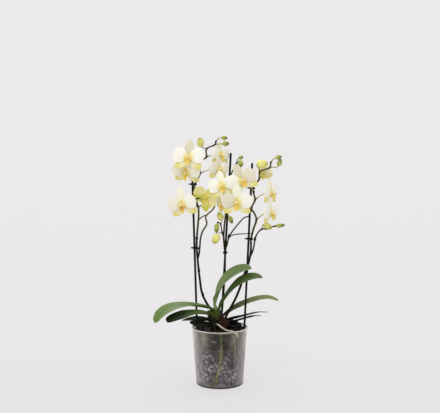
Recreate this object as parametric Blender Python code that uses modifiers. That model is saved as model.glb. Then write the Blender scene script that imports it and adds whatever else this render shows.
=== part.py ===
"""Potted moth orchid: a clear nursery pot of bark, with roots, leaves and three staked flower spikes.

Metres, +Z up. The origin is the centre of the pot's underside, on the surface that the pot stands on.
The plant's open side, which most blooms face, looks along -Y. Lengths in the tables are millimetres.
"""

import math
import random

import bmesh
import bpy
from mathutils import Matrix, Vector

MM = 0.001
UP = Vector((0, 0, 1))
SURFACE_GAP = 0.35 * MM  # between pieces that touch on the real plant

# Pot
POT_HEIGHT = 124 * MM
POT_RIM_RADIUS = 60 * MM
POT_TOP_RADIUS = 58.4 * MM
POT_BASE_RADIUS = 50 * MM
POT_WALL = 1.0 * MM
POT_STEPS = 32
RIM_DEPTH = 3.2 * MM
DRAIN_RADIUS = 4 * MM
DRAIN_CIRCLE = 34 * MM
DRAIN_COUNT = 6

# Bark
BARK_TOP = 118 * MM
BARK_HOLLOW = 7 * MM  # how far the bark dips round the crown
BARK_CHIPS = 6

# Stakes and stems
STAKE_RADIUS = 2.3 * MM
STAKE_FOOT = 8 * MM
PEDICEL_RADIUS = 1.05 * MM

# Blooms
TEPAL_THICKNESS = 0.8 * MM
LIP_THICKNESS = 0.8 * MM
BLOOM_BACK = 4.4 * MM  # from a bloom's centre back to its stalk


# ---------------------------------------------------------------- scene, materials and shared tools


def clear_scene():
    for obj in list(bpy.data.objects):
        bpy.data.objects.remove(obj)


def new_collection(name):
    made = bpy.data.collections.new(name)
    bpy.context.scene.collection.children.link(made)
    return made


def new_material(name, colour, roughness, alpha=1.0):
    made = bpy.data.materials.new(name)
    made.use_nodes = True
    shader = made.node_tree.nodes["Principled BSDF"]
    shader.inputs["Base Color"].default_value = (*colour, 1)
    shader.inputs["Roughness"].default_value = roughness
    shader.inputs["Metallic"].default_value = 0
    shader.inputs["Alpha"].default_value = alpha
    made.diffuse_color = (*colour, alpha)
    return made


def point(x, y, z):
    """A point given in millimetres."""
    return Vector((x, y, z)) * MM


def object_from(name, mesh, material=None, matrix=None):
    obj = bpy.data.objects.new(name, mesh)
    orchid.objects.link(obj)
    if matrix is not None:
        obj.matrix_world = matrix
    if material is not None and not mesh.materials:
        mesh.materials.append(material)
    return obj


def mesh_of(bm, name):
    mesh = bpy.data.meshes.new(name)
    bm.to_mesh(mesh)
    bm.free()
    return mesh


def bake(obj):
    """Replaces an object with a mesh object of its evaluated shape, welded, under the same name."""
    bpy.context.view_layer.update()
    graph = bpy.context.evaluated_depsgraph_get()
    mesh = bpy.data.meshes.new_from_object(obj.evaluated_get(graph))
    name, place = obj.name, obj.matrix_world.copy()
    bpy.data.objects.remove(obj)
    bm = bmesh.new()
    bm.from_mesh(mesh)
    bmesh.ops.remove_doubles(bm, verts=bm.verts, dist=0.00001)
    bm.to_mesh(mesh)
    bm.free()
    mesh.name = name
    return object_from(name, mesh, matrix=place)


def combine(obj, others, operation, solver="EXACT"):
    """Joins others to obj, or cuts them from it, in one Boolean that is applied. The others are removed."""
    if not others:
        return obj
    group = new_collection("others")
    for other in others:
        group.objects.link(other)
        orchid.objects.unlink(other)
    modifier = obj.modifiers.new(operation.lower(), "BOOLEAN")
    modifier.operation = operation
    modifier.solver = solver
    modifier.operand_type = "COLLECTION"
    modifier.collection = group
    made = bake(obj)
    for other in others:
        bpy.data.objects.remove(other)
    bpy.data.collections.remove(group)
    return made


def fuse(name, pieces, material, solver="MANIFOLD"):
    made = combine(pieces[0], pieces[1:], "UNION", solver)
    made.name = name
    made.data.name = name
    made.data.materials.clear()
    made.data.materials.append(material)
    made.data.shade_smooth()
    made.data.set_sharp_from_angle(angle=math.radians(50))
    return made


def smooth_path(points, per_span):
    """A Catmull-Rom curve through the points, with per_span steps from each to the next."""
    ends = [2 * points[0] - points[1], *points, 2 * points[-1] - points[-2]]
    path = []
    for a, b, c, d in zip(ends, ends[1:], ends[2:], ends[3:]):
        for step in range(per_span):
            t = step / per_span
            path.append(
                0.5
                * (
                    2 * b
                    + (c - a) * t
                    + (2 * a - 5 * b + 4 * c - d) * t**2
                    + (3 * b - a - 3 * c + d) * t**3
                )
            )
    path.append(points[-1].copy())
    return path


def trimmed(path, tolerance):
    """The path without the points that lie within the tolerance of the line between their neighbours."""
    if len(path) < 3:
        return path
    chord = (path[-1] - path[0]).normalized()
    gaps = [(spot - path[0] - chord * (spot - path[0]).dot(chord)).length for spot in path]
    far = max(range(len(path)), key=gaps.__getitem__)
    if gaps[far] < tolerance:
        return [path[0], path[-1]]
    return trimmed(path[: far + 1], tolerance)[:-1] + trimmed(path[far:], tolerance)


def bezier_path(a, b, c, d, steps):
    path = []
    for step in range(steps + 1):
        t = step / steps
        s = 1 - t
        path.append(a * s**3 + b * 3 * s * s * t + c * 3 * s * t * t + d * t**3)
    return path


def taper(path, start, end):
    """A radius for each point of the path, changing evenly along it."""
    travelled = [0.0]
    for before, after in zip(path, path[1:]):
        travelled.append(travelled[-1] + (after - before).length)
    return [start + (end - start) * distance / travelled[-1] for distance in travelled]


def tube(name, path, radii, resolution=1):
    """A closed tube along the path, with a radius for each of its points, as a mesh object."""
    curve = bpy.data.curves.new(name, "CURVE")
    curve.dimensions = "3D"
    curve.bevel_depth = 1.0
    curve.bevel_resolution = resolution
    curve.use_fill_caps = True
    spline = curve.splines.new("POLY")
    spline.points.add(len(path) - 1)
    for spot, place, radius in zip(spline.points, path, radii):
        spot.co = (*place, 1)
        spot.radius = radius
    obj = bpy.data.objects.new(name, curve)
    orchid.objects.link(obj)
    return bake(obj)


def turned(name, profile, steps):
    """A solid turned about Z. The profile is (radius, height) points, up the inside and down the outside."""
    mesh = bpy.data.meshes.new(name)
    edges = [(i, i + 1) for i in range(len(profile) - 1)]
    mesh.from_pydata([(r, 0, z) for r, z in profile], edges, [])
    obj = object_from(name, mesh)
    screw = obj.modifiers.new("turn", "SCREW")
    screw.steps = screw.render_steps = steps
    screw.use_merge_vertices = True
    screw.merge_threshold = 0.00005
    return bake(obj)


def ball(name, size, matrix, segments=8, rings=6):
    bm = bmesh.new()
    bmesh.ops.create_uvsphere(bm, u_segments=segments, v_segments=rings, radius=1)
    bmesh.ops.transform(bm, matrix=matrix @ Matrix.Diagonal((*size, 1)), verts=bm.verts)
    return object_from(name, mesh_of(bm, name))


def sheet(name, rows, columns, place, thickness):
    """A thin solid from a grid. place(u, v) gives the point at u (0 to 1) along and v (-1 to 1) across."""
    bm = bmesh.new()
    bmesh.ops.create_grid(bm, x_segments=columns, y_segments=rows, size=1)
    for vert in bm.verts:
        vert.co = place((vert.co.y + 1) / 2, vert.co.x)
    bmesh.ops.triangulate(bm, faces=bm.faces)
    obj = object_from(name, mesh_of(bm, name))
    solidify = obj.modifiers.new("thickness", "SOLIDIFY")
    solidify.thickness = thickness
    solidify.offset = 0
    made = bake(obj)
    bm = bmesh.new()
    bm.from_mesh(made.data)
    bmesh.ops.recalc_face_normals(bm, faces=bm.faces)
    bm.to_mesh(made.data)
    bm.free()
    return made


def blade_share(u, peak, foot, tip, foot_power, tip_power):
    """Share of the half width at u along a blade: foot at its start, 1 at the peak and tip at its end."""
    if u < peak:
        end, power, far = foot, foot_power, (peak - u) / peak
    else:
        end, power, far = tip, tip_power, (u - peak) / (1 - peak)
    return (1 - (1 - end**power) * far**power) ** (1 / power)


def facing_matrix(centre, facing, roll_degrees, scale=1.0):
    """Local +Z looks along facing and local +Y is as upright as it can be, then turned by the roll."""
    z = facing.normalized()
    y = (UP - z * UP.dot(z)).normalized()
    x = y.cross(z)
    turn = Matrix((x, y, z)).transposed().to_4x4()
    roll = Matrix.Rotation(math.radians(roll_degrees), 4, "Z")
    return Matrix.Translation(centre) @ turn @ roll @ Matrix.Scale(scale, 4)


# ---------------------------------------------------------------- pot


def wall_radius(z):
    """The pot's outer radius at height z, below the rim."""
    return POT_BASE_RADIUS + (POT_TOP_RADIUS - POT_BASE_RADIUS) * z / POT_HEIGHT


def build_pot():
    """A thin cup with a rolled rim, a round foot and drain holes through its floor."""
    floor = 1.4 * MM
    foot = 3 * MM
    lip_base = POT_HEIGHT - RIM_DEPTH
    inside = POT_BASE_RADIUS - POT_WALL
    profile = [
        (0, floor),
        (inside - foot, floor),
        (inside, floor + foot),
        (wall_radius(lip_base) - POT_WALL, lip_base),
        (POT_TOP_RADIUS + 0.3 * MM, POT_HEIGHT),
        (POT_RIM_RADIUS - 0.4 * MM, POT_HEIGHT - 0.3 * MM),
        (POT_RIM_RADIUS, POT_HEIGHT - 1.4 * MM),
        (POT_RIM_RADIUS - 0.2 * MM, lip_base),
        (wall_radius(lip_base), lip_base - 0.5 * MM),
        (wall_radius(foot + 1 * MM), foot + 1 * MM),
        (POT_BASE_RADIUS - 0.8 * MM, 1 * MM),
        (POT_BASE_RADIUS - foot, 0),
        (0, 0),
    ]
    pot = turned("pot", profile, POT_STEPS)
    drains = []
    for index in range(DRAIN_COUNT):
        angle = math.tau * (index + 0.5) / DRAIN_COUNT
        bm = bmesh.new()
        bmesh.ops.create_cone(
            bm, cap_ends=True, segments=8, radius1=DRAIN_RADIUS, radius2=DRAIN_RADIUS, depth=8 * MM
        )
        drain = object_from("drain", mesh_of(bm, "drain"))
        drain.location = (DRAIN_CIRCLE * math.cos(angle), DRAIN_CIRCLE * math.sin(angle), 0)
        drains.append(drain)
    pot = combine(pot, drains, "DIFFERENCE")
    pot.data.materials.append(clear_plastic)
    pot.data.shade_smooth()
    pot.data.set_sharp_from_angle(angle=math.radians(35))
    return pot


# ---------------------------------------------------------------- stakes

# Each stake's foot and tip: the plant's three spikes are clipped to them.
STAKES = {
    "stake_left": (point(-45.9, 9, 20), point(-57.6, 8, 438)),
    "stake_middle": (point(-2.5, 22, 20), point(23.4, 22, 493)),
    "stake_right": (point(50.7, 6.5, 75), point(68.1, 6, 473)),
}


def stake_at(name, z):
    """The stake's centre at height z."""
    foot, tip = STAKES[name]
    return foot.lerp(tip, (z - foot.z) / (tip.z - foot.z))


def build_stake(name, radius, material):
    """A moulded rod with a rounded tip."""
    foot, tip = STAKES[name]
    along = (tip - foot).normalized()
    path = [foot, foot.lerp(tip, 0.5), tip - along * 2 * MM, tip - along * 0.8 * MM, tip]
    stake = tube(name, path, [radius, radius, radius, radius * 0.85, radius * 0.4], 2)
    stake.data.materials.append(material)
    stake.data.shade_smooth()
    stake.data.set_sharp_from_angle(angle=math.radians(50))
    return stake


# ---------------------------------------------------------------- roots

# Radius at foot, radius at tip, route in millimetres. They start from a knob under the crown.
ROOT_HUB = point(5, 0, 94)
ROOTS = {
    "front": (4.7, 4.3, [(5, 0, 94), (4, -24, 107), (2.8, -43, 114), (2.7, -50, 112), (2.8, -50.2, 103),
                         (2.8, -49.7, 90), (2.4, -48.6, 74), (1.2, -47.3, 56), (-1.6, -46, 40),
                         (-6.2, -44.4, 22), (-9, -42.4, 9)]),
    "right": (2.8, 2.0, [(5, 0, 94), (18, -20, 105), (28, -40, 108), (31.2, -42.4, 98), (31.6, -41, 84),
                         (32, -39.2, 68)]),
    "left": (2.6, 1.7, [(5, 0, 94), (-16, -14, 96), (-37, -29, 60), (-36, -28.6, 30), (-29, -34, 8),
                        (-15, -41.2, 6.4)]),
    "across": (1.6, 1.3, [(5, 0, 94), (-10, -22, 102), (-21, -43, 104), (-16, -49.6, 103),
                          (-8, -51.6, 102.4)]),
    "back": (2.8, 2.0, [(5, 0, 94), (13, 20, 92), (8, 38, 90), (-4, 46.6, 84), (-14, 45, 62), (-8, 45, 26)]),
    "side": (2.6, 1.9, [(5, 0, 94), (22, 14, 90), (46.5, 19, 76), (44, 18, 44), (38, 24, 20)]),
    "aerial": (2.3, 1.1, [(5, 0, 94), (-3, -13, 104), (-10, -18.5, 118), (-11, -19, 132), (-4, -24, 133.4),
                          (5.5, -34, 128.6), (13, -45, 127), (20, -54, 126.8), (26, -56.8, 126.6),
                          (31.5, -55, 123), (35.5, -51.8, 118.5), (38, -49.4, 114.5)]),
}


def root_tubes(extra):
    tubes = []
    for name, (thick, thin, route) in ROOTS.items():
        path = trimmed(smooth_path([point(*spot) for spot in route], 4), 0.8 * MM)
        tubes.append(tube(name, path, taper(path, thick * MM + extra, thin * MM + extra)))
    return tubes


def root_knob(extra):
    return ball("knob", [7 * MM + extra] * 3, Matrix.Translation(ROOT_HUB), 8, 5)


# ---------------------------------------------------------------- crown

CROWN_AXIS = [(5, 0, 104), (4.5, 0, 118), (2, 0, 131), (-2, 0, 143), (-6, 0, 153), (-7, 0, 158)]


def crown_spot(z):
    """The crown's centre at height z."""
    for (x_low, _, low), (x_high, _, high) in zip(CROWN_AXIS, CROWN_AXIS[1:]):
        if z <= high * MM:
            share = (z / MM - low) / (high - low)
            return Vector(((x_low + (x_high - x_low) * share) * MM, 0, z))
    return Vector((CROWN_AXIS[-1][0] * MM, 0, z))


def crown_core(extra):
    path = [point(*spot) for spot in CROWN_AXIS]
    path[0] -= UP * extra
    return tube("crown", path, taper(path, 8.8 * MM + extra, 5.5 * MM + extra))


def build_crown(material):
    """The short stem, hidden by the leaf bases that wrap it: each leaves the stem low down and leans out."""
    pieces = [crown_core(0)]
    for name, (_, _, _, route) in LEAVES.items():
        foot, following = point(*route[0][:3]), point(*route[1][:3])
        out = (following - foot).normalized()
        root = crown_spot(max(foot.z - 32 * MM, 112 * MM))
        end = foot - out * 0.7 * MM
        path = trimmed(bezier_path(root, root + UP * 14 * MM, end - out * 9 * MM, end, 6), 1.8 * MM)
        pieces.append(tube(name + "_base", path, taper(path, 7 * MM, 3 * MM)))
    return fuse("crown", pieces, material)


def build_dry_sheath(material):
    """The papery brown remnant of an old leaf base, curled over the front of the crown."""
    top, bottom = point(4, -12.8, 147), point(10, -15.6, 125)

    def place(u, v):
        reach = 12 * MM * blade_share(u, 0.5, 0.5, 0.18, 2, 1.6)
        across = Vector((v * math.cos(0.15), 0.5 * v * v, v * math.sin(0.15) - 0.1 * v * v * u)) * reach
        return top.lerp(bottom, u) + across - Vector((0, 1.6 * MM, 0)) * math.sin(math.pi * u)

    dry_sheath = sheet("dry_sheath", 3, 3, place, 0.8 * MM)
    dry_sheath.data.materials.append(material)
    dry_sheath.data.shade_smooth()
    return dry_sheath


# ---------------------------------------------------------------- leaves

# name: half width, rise of the halves from the midrib (a slope), share of the width at the tip, and the
# midrib's route as x, y, z and tilt: the degrees that the blade's upper side turns from the sky to the front.
LEAVES = {
    "leaf_left_upper": (
        15.5, 0.12, 0.16,
        [(-19.5, -2, 163, 4), (-33, -8, 167, 2), (-53, -18, 172, 6), (-74, -28, 175, 12),
         (-94, -38, 175, 15), (-112, -46, 170, 18), (-126, -52, 160, 21), (-135.5, -56, 144.5, 24)],
    ),
    "leaf_left_lower": (
        15.5, 0.22, 0.4,
        [(-18.5, -3, 149, 8), (-36, -12, 154, 9), (-53, -22, 156, 12), (-70, -34, 156.5, 14),
         (-86, -46, 154, 14), (-100, -56, 151, 14), (-109.5, -62, 147.5, 16)],
    ),
    "leaf_left_back": (
        14, 0.1, 0.2,
        [(-17, 4, 135, 2), (-33, 14, 134, 3), (-47, 26, 132.5, 4), (-62, 39, 130.5, 5),
         (-71.5, 48, 128.5, 5), (-79, 55, 126.5, 5)],
    ),
    "leaf_left_front": (
        13, 0.14, 0.22,
        [(-18, -5.5, 128.5, 8), (-30, -13.5, 130, 24), (-43, -21.5, 132, 28), (-54, -27.5, 134.5, 22),
         (-62, -32.5, 138, 10)],
    ),
    "leaf_right_top": (
        18.5, 0.3, 0.2,
        [(-8.5, 1, 174, 5), (-4.5, -2, 189, 15), (2, -4, 205, 22), (11, -5, 220.5, 26), (23, -6.5, 234, 28),
         (37, -9.5, 243.5, 26), (52, -13, 249.5, 22), (67, -16, 252, 18)],
    ),
    "leaf_right_upper": (
        16, 0.25, 0.2,
        [(1, -4, 166, 8), (7.5, -7, 180, 16), (17, -12, 194, 22), (28.5, -16.5, 208, 24),
         (42, -20, 221.5, 24), (58, -22, 231, 22), (74.5, -23, 235, 20), (90, -24, 234, 14)],
    ),
    "leaf_right_middle": (
        12.5, 0.14, 0.2,
        [(7.5, 5, 145.5, 4), (19, 8, 152.5, 8), (33, 13, 160, 10), (50, 20.5, 167.5, 10), (67, 24, 174, 11),
         (85, 28, 179, 12), (106, 30, 180.5, 12), (127, 31, 174, 10)],
    ),
    "leaf_right_back": (
        12, 0.06, 0.2,
        [(11, 8, 135, -6), (28, 17, 136.5, -9), (46, 30, 138.5, -10), (65, 43, 141, -11),
         (85, 55, 143, -12), (105, 64, 141, -12)],
    ),
    "leaf_right_lower": (
        9, 0.06, 0.2,
        [(13, 2, 130.5, -4), (29, 9, 132, -8), (45, 16, 135, -8), (62, 23, 138.5, -8),
         (76, 29, 140.5, -10), (90, 33, 139.5, -10)],
    ),
}
LEAF_THICKNESS = 1.6 * MM
LEAF_ROWS = 7
LEAF_COLUMNS = 4


def build_leaf(name, material):
    """A strap leaf: folded to a trough at its foot, opening to a shallow channel, with a rounded tip."""
    half_width, channel, tip, route = LEAVES[name]
    path = smooth_path([Vector((x * MM, y * MM, z * MM, math.radians(tilt))) for x, y, z, tilt in route], 6)
    last = len(path) - 1

    def place(u, v):
        u -= 0.035 * v * v * u**6
        index = min(int(u * last), last - 1)
        here = path[index].lerp(path[index + 1], u * last - index)
        along = (path[min(index + 2, last)] - path[max(index - 1, 0)]).to_3d().normalized()
        across = along.cross(UP).normalized()
        across *= 1 if across.y > 0 else -1
        over = across.cross(along).normalized()
        over *= 1 if over.z > 0 else -1
        back = across * math.cos(here.w) + over * math.sin(here.w)
        upper = over * math.cos(here.w) - across * math.sin(here.w)
        fold = math.atan(channel + 0.95 * (1 - u) ** 3)
        reach = half_width * MM * blade_share(u, 0.62, 0.3, tip, 1.5, 2.2)
        return here.to_3d() + (back * v * math.cos(fold) + upper * abs(v) ** 1.2 * math.sin(fold)) * reach

    leaf = sheet(name, LEAF_ROWS, LEAF_COLUMNS, place, LEAF_THICKNESS)
    leaf.data.materials.append(material)
    leaf.data.shade_smooth()
    leaf.data.set_sharp_from_angle(angle=math.radians(60))
    return leaf


# ---------------------------------------------------------------- blooms

# Angle from the top, length, half width, outline (see blade_share), height at foot, rise, fall at tip, camber
DORSAL = (37, 9.0, (0.58, 0.22, 0.44, 1.7, 2.0), -1.5, -0.8, -2.2, -1.3)
LATERAL = (34, 9.5, (0.52, 0.20, 0.36, 1.7, 2.0), -1.5, -0.8, -2.2, -1.3)
PETAL = (32.5, 15.5, (0.58, 0.14, 0.56, 1.45, 2.3), 1.1, 3.4, -5.0, -1.5)
TEPAL_INNER = 1.2  # from the bloom's axis to a tepal's foot
TEPALS = {
    "dorsal": (0, DORSAL),
    "lateral_left": (-128, LATERAL),
    "lateral_right": (128, LATERAL),
    "petal_left": (-77, PETAL),
    "petal_right": (77, PETAL),
}


def tepal_point(name, u, v, bend):
    """A point of a tepal at u along and v across. bend above 0 swings the tepals forward into a cup."""
    angle, (length, half_width, outline, foot, rise, fall, camber) = TEPALS[name]
    swing = bend * u
    across = half_width * blade_share(u, *outline) * v * (1 - 0.25 * swing)
    along = TEPAL_INNER + (length - TEPAL_INNER) * (u - 0.11 * v * v * u**4)
    lift = foot + rise * u + fall * u**3 + camber * v * v * math.sin(math.pi * min(u, 0.9))
    along, lift = along * math.cos(swing), lift + along * math.sin(swing)
    return Matrix.Rotation(-math.radians(angle), 3, "Z") @ point(across, along, lift)


def bloom_mesh(name, bend):
    """Three sepals, two broad petals in front of them, and the column, in one piece."""
    pieces = [
        tube("heart", [point(0, 0, -4), point(0, 0, -2.6), point(0, 0, 2.8)], [1.8 * MM, 3.5 * MM, 3.6 * MM]),
        tube("column", [point(0, 0.6, 1.5), point(0, 1.4, 6), point(0, 1.2, 8.4)],
             [2.4 * MM, 2.2 * MM, 1.4 * MM]),
    ]
    for part, (_, values) in TEPALS.items():
        broad = values is PETAL
        pieces.append(sheet(part, 4 if broad else 3, 3 if broad else 2,
                            lambda u, v, part=part: tepal_point(part, u, v, bend), TEPAL_THICKNESS))
    made = fuse(name, pieces, petal_flesh)
    mesh = made.data
    bpy.data.objects.remove(made)
    return mesh


# Lip: share along it, half width, how far its edges stand up
LIP_STATIONS = [(0.0, 2.4, 0.8), (0.2, 7.4, 5.0), (0.36, 7.6, 5.2), (0.55, 4.0, 0.8), (0.78, 5.6, 0.0),
                (1.0, 1.0, -0.4)]


def lip_station(u):
    for (a, wide_a, rise_a), (b, wide_b, rise_b) in zip(LIP_STATIONS, LIP_STATIONS[1:]):
        if u <= b + 1e-6:
            share = (u - a) / (b - a)
            return wide_a + (wide_b - wide_a) * share, rise_a + (rise_b - rise_a) * share
    return LIP_STATIONS[-1][1:]


def lip_point(u, v):
    """The lip: side lobes that stand up beside the column, then a narrow waist and a pointed middle lobe."""
    wide, rise = lip_station(u)
    edge = abs(v) ** 1.6
    forward = 3.4 + 8.5 * u - 4.0 * u * u + 0.55 * rise * edge
    return point(wide * v, -4.6 - 10.5 * u**1.25 + rise * edge, forward)


def lip_mesh(name):
    made = sheet(name, 5, 2, lip_point, LIP_THICKNESS)
    mesh = made.data
    mesh.materials.append(lip_flesh)
    mesh.shade_smooth()
    bpy.data.objects.remove(made)
    return mesh


# number: centre, the way it faces, roll in degrees (clockwise to one who faces it), scale, shape
BLOOMS = {
    "01": ((-65, -36, 488), (-0.20, -0.95, 0.20), 2, 1.05, "open"),
    "02": ((-70.5, -16, 455.5), (-0.30, -0.88, -0.30), 4, 0.98, "open"),
    "03": ((-78, -33, 389), (-0.30, -0.94, -0.10), -12, 1.0, "open"),
    "04": ((-33, -15, 401), (0.16, 0.96, 0.20), -42, 0.86, "open"),
    "05": ((2, 8, 489), (0.66, -0.74, 0.10), 4, 0.80, "open"),
    "06": ((-2, -12, 461), (0.60, -0.80, 0.02), 4, 0.80, "open"),
    "07": ((4.5, -35, 428), (-0.16, -0.95, 0.18), -14, 0.92, "open"),
    "08": ((46.5, -44, 441), (0.06, -0.98, 0.10), -25, 1.0, "open"),
    "09": ((35, -60, 397), (-0.04, -0.98, 0.02), 0, 1.02, "open"),
    "10": ((108, -8, 411), (0.84, -0.54, 0.06), 4, 0.86, "open"),
    "11": ((108, -10, 368.5), (0.80, -0.60, -0.04), -4, 0.80, "open"),
    "12": ((89.5, 12, 447), (0.45, 0.80, 0.35), 20, 0.80, "closing"),
    "13": ((7, -12, 389), (-0.84, -0.52, -0.05), 0, 0.84, "open"),
}
BENDS = {"open": 0.0, "closing": 0.9}


def bloom_matrix(number):
    centre, facing, roll, scale, _ = BLOOMS[number]
    return facing_matrix(point(*centre), Vector(facing), -roll, scale)


def bloom_back(number):
    """Where the bloom's stalk ends, and the way it runs there."""
    _, facing, _, scale, _ = BLOOMS[number]
    forward = Vector(facing).normalized()
    return bloom_matrix(number).translation - forward * BLOOM_BACK * scale, forward


def build_blooms():
    shapes = {shape: bloom_mesh("bloom_" + shape, bend) for shape, bend in BENDS.items()}
    lip = lip_mesh("lip")
    for number, (_, _, _, _, shape) in BLOOMS.items():
        object_from("bloom_" + number, shapes[shape], matrix=bloom_matrix(number))
        if shape != "closing":
            object_from("lip_" + number, lip, matrix=bloom_matrix(number))


# ---------------------------------------------------------------- flower spikes

# Each spike: its stems as (radius at foot, radius at tip, route); the blooms and buds, with where each stalk
# leaves a stem. A bud has the place of its foot, the way it points, its half width and its half length.
SPIKES = {
    "spike_left": {
        "stems": [
            (2.6, 1.6, [(-8, 12, 147), (-18, 13, 158), (-29, 11, 174), (-38, 7, 196), (-42, 5, 222),
                        (-46, 4.4, 258), (-48.6, 4.2, 292), (-48.4, 2, 314), (-46.4, -1, 338),
                        (-44.6, -3, 360), (-45, -3, 381), (-50, -2.6, 394), (-52.6, 1, 412),
                        (-52.2, 5.4, 428), (-45.4, 2.4, 442), (-41.6, -0.4, 451), (-42.6, -2.6, 462),
                        (-43.2, -2.4, 472), (-35.5, 2.6, 480.5), (-28, 6, 485.5), (-27.6, 5, 502.5),
                        (-11, 1, 511), (-8, 0, 519)]),
            (2.0, 1.5, [(-47, 4.4, 268), (-43.6, -1, 282), (-42, -4.5, 298), (-40.6, -6, 314),
                        (-36.5, -6, 329), (-27.4, -5, 345), (-29.3, -4, 361), (-16, -2, 374), (-11, 3, 382),
                        (-12, 2, 394), (-12, -2, 407)]),
            (1.6, 1.3, [(-45, -3, 379), (-53, -9, 388), (-56.5, -17, 394), (-52, -22.5, 399),
                        (-44, -23.5, 402)]),
            (1.4, 1.2, [(-44.8, -3, 353), (-37.5, -5, 360), (-30, -4.5, 366.5)]),
            (1.2, 0.9, [(-45, -3, 379), (-39, -5, 384.5), (-32.5, -6, 391)]),
        ],
        "blooms": [("03", (-49, -3, 391)), ("04", (-46, -23.4, 401.4)), ("02", (-45.4, 2.4, 442)),
                   ("06", (-41.6, -0.4, 451)), ("01", (-43.2, -2.4, 472)), ("05", (-28, 6, 485.5)),
                   ("07", (-12, -2, 406))],
        "buds": [((-27.6, 5, 502.5), (-39, 3, 507.5), (-0.15, 0, 1), 7.4, 10),
                 ((-11, 1, 511), (6, -1, 513.5), (1, 0, 0.05), 5.2, 7.2),
                 ((-8, 0, 519), (4, -2, 526.5), (1, 0, -0.05), 4.6, 6.4)],
    },
    "spike_middle": {
        "stems": [
            (2.6, 1.5, [(4, 13, 149), (5.4, 14, 164), (7.6, 15.4, 190), (9.6, 16.4, 220), (11, 16.8, 250),
                        (11, 16.8, 280), (9.4, 15, 298), (8.3, 12, 316), (10, 10.5, 342), (12.5, 10, 362),
                        (17, 11, 392), (18, 12, 420), (23, 11, 445), (30, 10, 462), (35, 10, 472)]),
            (1.7, 1.4, [(11, 16.8, 284), (15.5, 13.5, 298), (19.5, 12, 315), (27, 12.5, 327),
                        (38.7, 14, 342), (50.8, 15, 355), (61, 16, 359), (66, 14, 369)]),
            (1.3, 1.0, [(19.5, 12, 315), (28, 13.5, 319), (40, 15.5, 320.6), (56, 16.5, 321), (68, 15, 322)]),
            (1.5, 1.1, [(8.3, 12, 314), (5, 6, 325), (2, 3, 343), (-4, 2, 348)]),
        ],
        "blooms": [("13", (17, 11, 392))],
        "buds": [((35, 10, 472), (43, 10, 477.5), (0.15, 0, -1), 5.6, 7.4),
                 ((35, 10, 472), (40, 10, 482.5), (1, 0, 0.35), 4.2, 5.2),
                 ((-4, 2, 348), (-6, 0, 345), (-0.05, 0, -1), 5.2, 10.6),
                 ((5, 6, 325), (-4, -6, 323), (-0.4, -0.12, -0.9), 8.2, 11.2),
                 ((2, 3, 343), (4.5, -5, 354), (-0.4, -0.15, 0.9), 7.0, 9.6),
                 ((12.5, 10, 362), (20.5, 5, 360), (0.35, -0.1, -0.9), 4.8, 8.6)],
    },
    "spike_right": {
        "stems": [
            (2.8, 1.6, [(13.5, -5, 147), (21.6, -5, 163), (33, -3, 184), (43, 0, 208), (52, 1, 236),
                        (60.4, 1, 259), (64.6, 1, 278), (66, 1.4, 296), (66.2, 2.6, 312), (71, -2, 334),
                        (77, -5, 354), (72, -5, 369), (66.5, -5, 378), (74, -4, 396), (71.4, -0.5, 408),
                        (70.2, 1.6, 416), (70.4, 1.8, 424), (82, -5, 439), (84.2, -6, 456),
                        (103.5, -6, 463.6), (107, -6, 476)]),
            (1.9, 1.3, [(64.4, 1, 274), (70.6, -4, 291), (74.2, -5.4, 312), (79, -6, 325), (88, -6, 334),
                        (98, -5, 335), (110, -5, 339), (117, -5, 340.6)]),
        ],
        "blooms": [("11", (77, -5, 354)), ("09", (67, -5, 377)), ("10", (74, -4, 396)),
                   ("08", (72, -1, 413)), ("12", (82, -5, 439))],
        "buds": [((84.2, -6, 456), (78, -8, 471.5), (1, 0, 0.05), 9.2, 11.8),
                 ((107, -6, 476), (117, -6, 484.5), (0.9, 0, 0.2), 4.8, 6.6),
                 ((103.5, -6, 463.6), (123, -6, 468), (0.3, 0, 1), 5.4, 7.8),
                 ((88, -6, 334), (93, -8, 345.5), (0.85, 0, -0.5), 7.0, 9.8),
                 ((116, -5, 340.4), (119, -5, 341), (0.98, 0, 0.1), 4.4, 9.6)],
    },
}


def stalk_path(start, end, arrive):
    """A bloom's or bud's stalk: it leaves the stem outwards and upwards and comes in along arrive."""
    span = (end - start).length
    leave = (end - start).normalized() + UP * 0.35
    path = bezier_path(start, start + leave * span * 0.3, end - arrive * span * 0.42, end, 8)
    return trimmed(path, 0.7 * MM)


def bud_mesh(base, direction, half_width, half_length):
    """A plump bud, broadest near its foot, with a bluntly pointed tip."""
    turn = direction.to_track_quat("Z", "Y").to_matrix().to_4x4()
    bm = bmesh.new()
    bmesh.ops.create_uvsphere(bm, u_segments=7, v_segments=5, radius=1)
    for vert in bm.verts:
        taper = 1 - 0.22 * vert.co.z
        vert.co.x *= half_width * MM * taper
        vert.co.y *= half_width * MM * taper
        vert.co.z = (vert.co.z + 0.92) * half_length * MM
    bmesh.ops.transform(bm, matrix=Matrix.Translation(base) @ turn, verts=bm.verts)
    return object_from("bud", mesh_of(bm, "bud"))


def bract(spot, radius, lean):
    """The small dry scale at a joint of the stem."""
    bm = bmesh.new()
    bmesh.ops.create_cone(bm, cap_ends=True, segments=4, radius1=radius * 1.5, radius2=radius * 0.3,
                          depth=5.5 * MM)
    turn = lean.to_track_quat("Z", "Y").to_matrix().to_4x4()
    bmesh.ops.transform(bm, matrix=Matrix.Translation(spot + lean * 1.6 * MM) @ turn, verts=bm.verts)
    return object_from("bract", mesh_of(bm, "bract"))


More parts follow.
